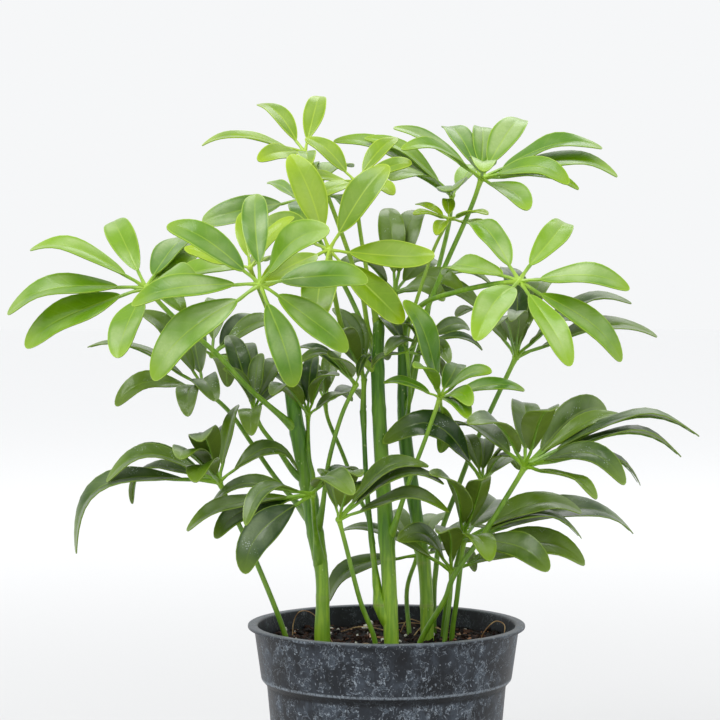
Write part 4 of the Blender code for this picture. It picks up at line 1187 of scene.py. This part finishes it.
def area_light(name, place, target, size, power):
    """A large soft light that the camera doesn't see."""
    data = bpy.data.lights.new(name, "AREA")
    data.shape = "DISK"
    data.size = size
    data.energy = power
    lamp = bpy.data.objects.new(name, data)
    lamp.location = place
    lamp.rotation_euler = (Vector(target) - Vector(place)).to_track_quat("-Z", "Y").to_euler()
    lamp.visible_camera = False
    bpy.context.scene.collection.objects.link(lamp)


def make_studio():
    """A pale floor, a pale surround, soft lights from above and both sides, and the camera."""
    bm = bmesh.new()
    bmesh.ops.create_circle(bm, cap_ends=True, segments=96, radius=FLOOR_RADIUS)
    floor = bpy.data.objects.new("floor", made_mesh("floor", bm))
    finish = Finish("pale_floor", Emission_Strength=1.0, Specular_IOR_Level=0.1)
    off = finish.add("ShaderNodeVectorMath", {"operation": "LENGTH"}, {0: finish.place()})
    far = Level(finish, off.outputs["Value"]).between(150, 1500)
    glow = finish.blend(far, (0.09, 0.092, 0.095, 1), (0.375, 0.38, 0.385, 1))
    finish.join(finish.shader.inputs["Emission Color"], glow)
    floor.data.materials.append(finish.wear((0.56, 0.56, 0.56, 1), 0.9))
    bpy.context.scene.collection.objects.link(floor)

    world = bpy.data.worlds.new("surround")
    world.use_nodes = True
    world.node_tree.nodes["Background"].inputs["Color"].default_value = SURROUND
    world.node_tree.nodes["Background"].inputs["Strength"].default_value = SURROUND_STRENGTH
    bpy.context.scene.world = world
    for name, terms in LIGHTS.items():
        area_light(name, *terms)

    lens = bpy.data.cameras.new("camera")
    lens.lens = LENS
    lens.sensor_width = FILM
    camera = bpy.data.objects.new("camera", lens)
    camera.location = EYE * METRES
    camera.rotation_euler = (math.pi / 2 - LOOK_DOWN, 0, 0)
    bpy.context.scene.collection.objects.link(camera)
    bpy.context.scene.camera = camera
    bpy.context.scene.view_settings.view_transform = "Standard"


def main():
    """Dresses the frame: pot, mix and what lies on it, stems and leaves."""
    blades = {slot: blade_finish(slot.replace("leaf", "blade"), **looks) for slot, looks in BLADES.items()}
    stalks = {slot: stalk_finish(slot.replace("leaf", "stalk"), *paints) for slot, paints in STALKS.items()}
    make_pot(pot_finish("limed_black_plastic", 1.0), pot_finish("clean_black_plastic", 0.35))
    make_mix(soil_finish("peaty_mix", (12, 7, 5), (46, 28, 20)))
    crumbs = soil_finish("mix_crumb", (16, 9, 7), (74, 46, 32))
    scatter("mix_crumbs", "crumbs", CRUMBS, (0.7, 3.4), 0.7, 0.05, crumbs)
    scatter("bark_chips", "chips", BARK_CHIPS, (0.6, 2.2), 1.0, 0.15, chip_finish(), chips=True)
    scatter("perlite_grains", "perlite", PERLITE_GRAINS, (0.8, 3.2), 0.8, 0.25, perlite_finish())
    make_rootlets(rootlet_finish())
    skin, scale = stem_finish(), sheath_finish()
    for stem in STEMS:
        make_cane(stem, skin, scale)
    chosen = lay_out(LEAVES, STEMS)
    for leaf in LEAVES:
        make_whorl(leaf, chosen[leaf.name], blades[leaf.age.slot], stalks[leaf.age.slot])
    make_studio()


main()
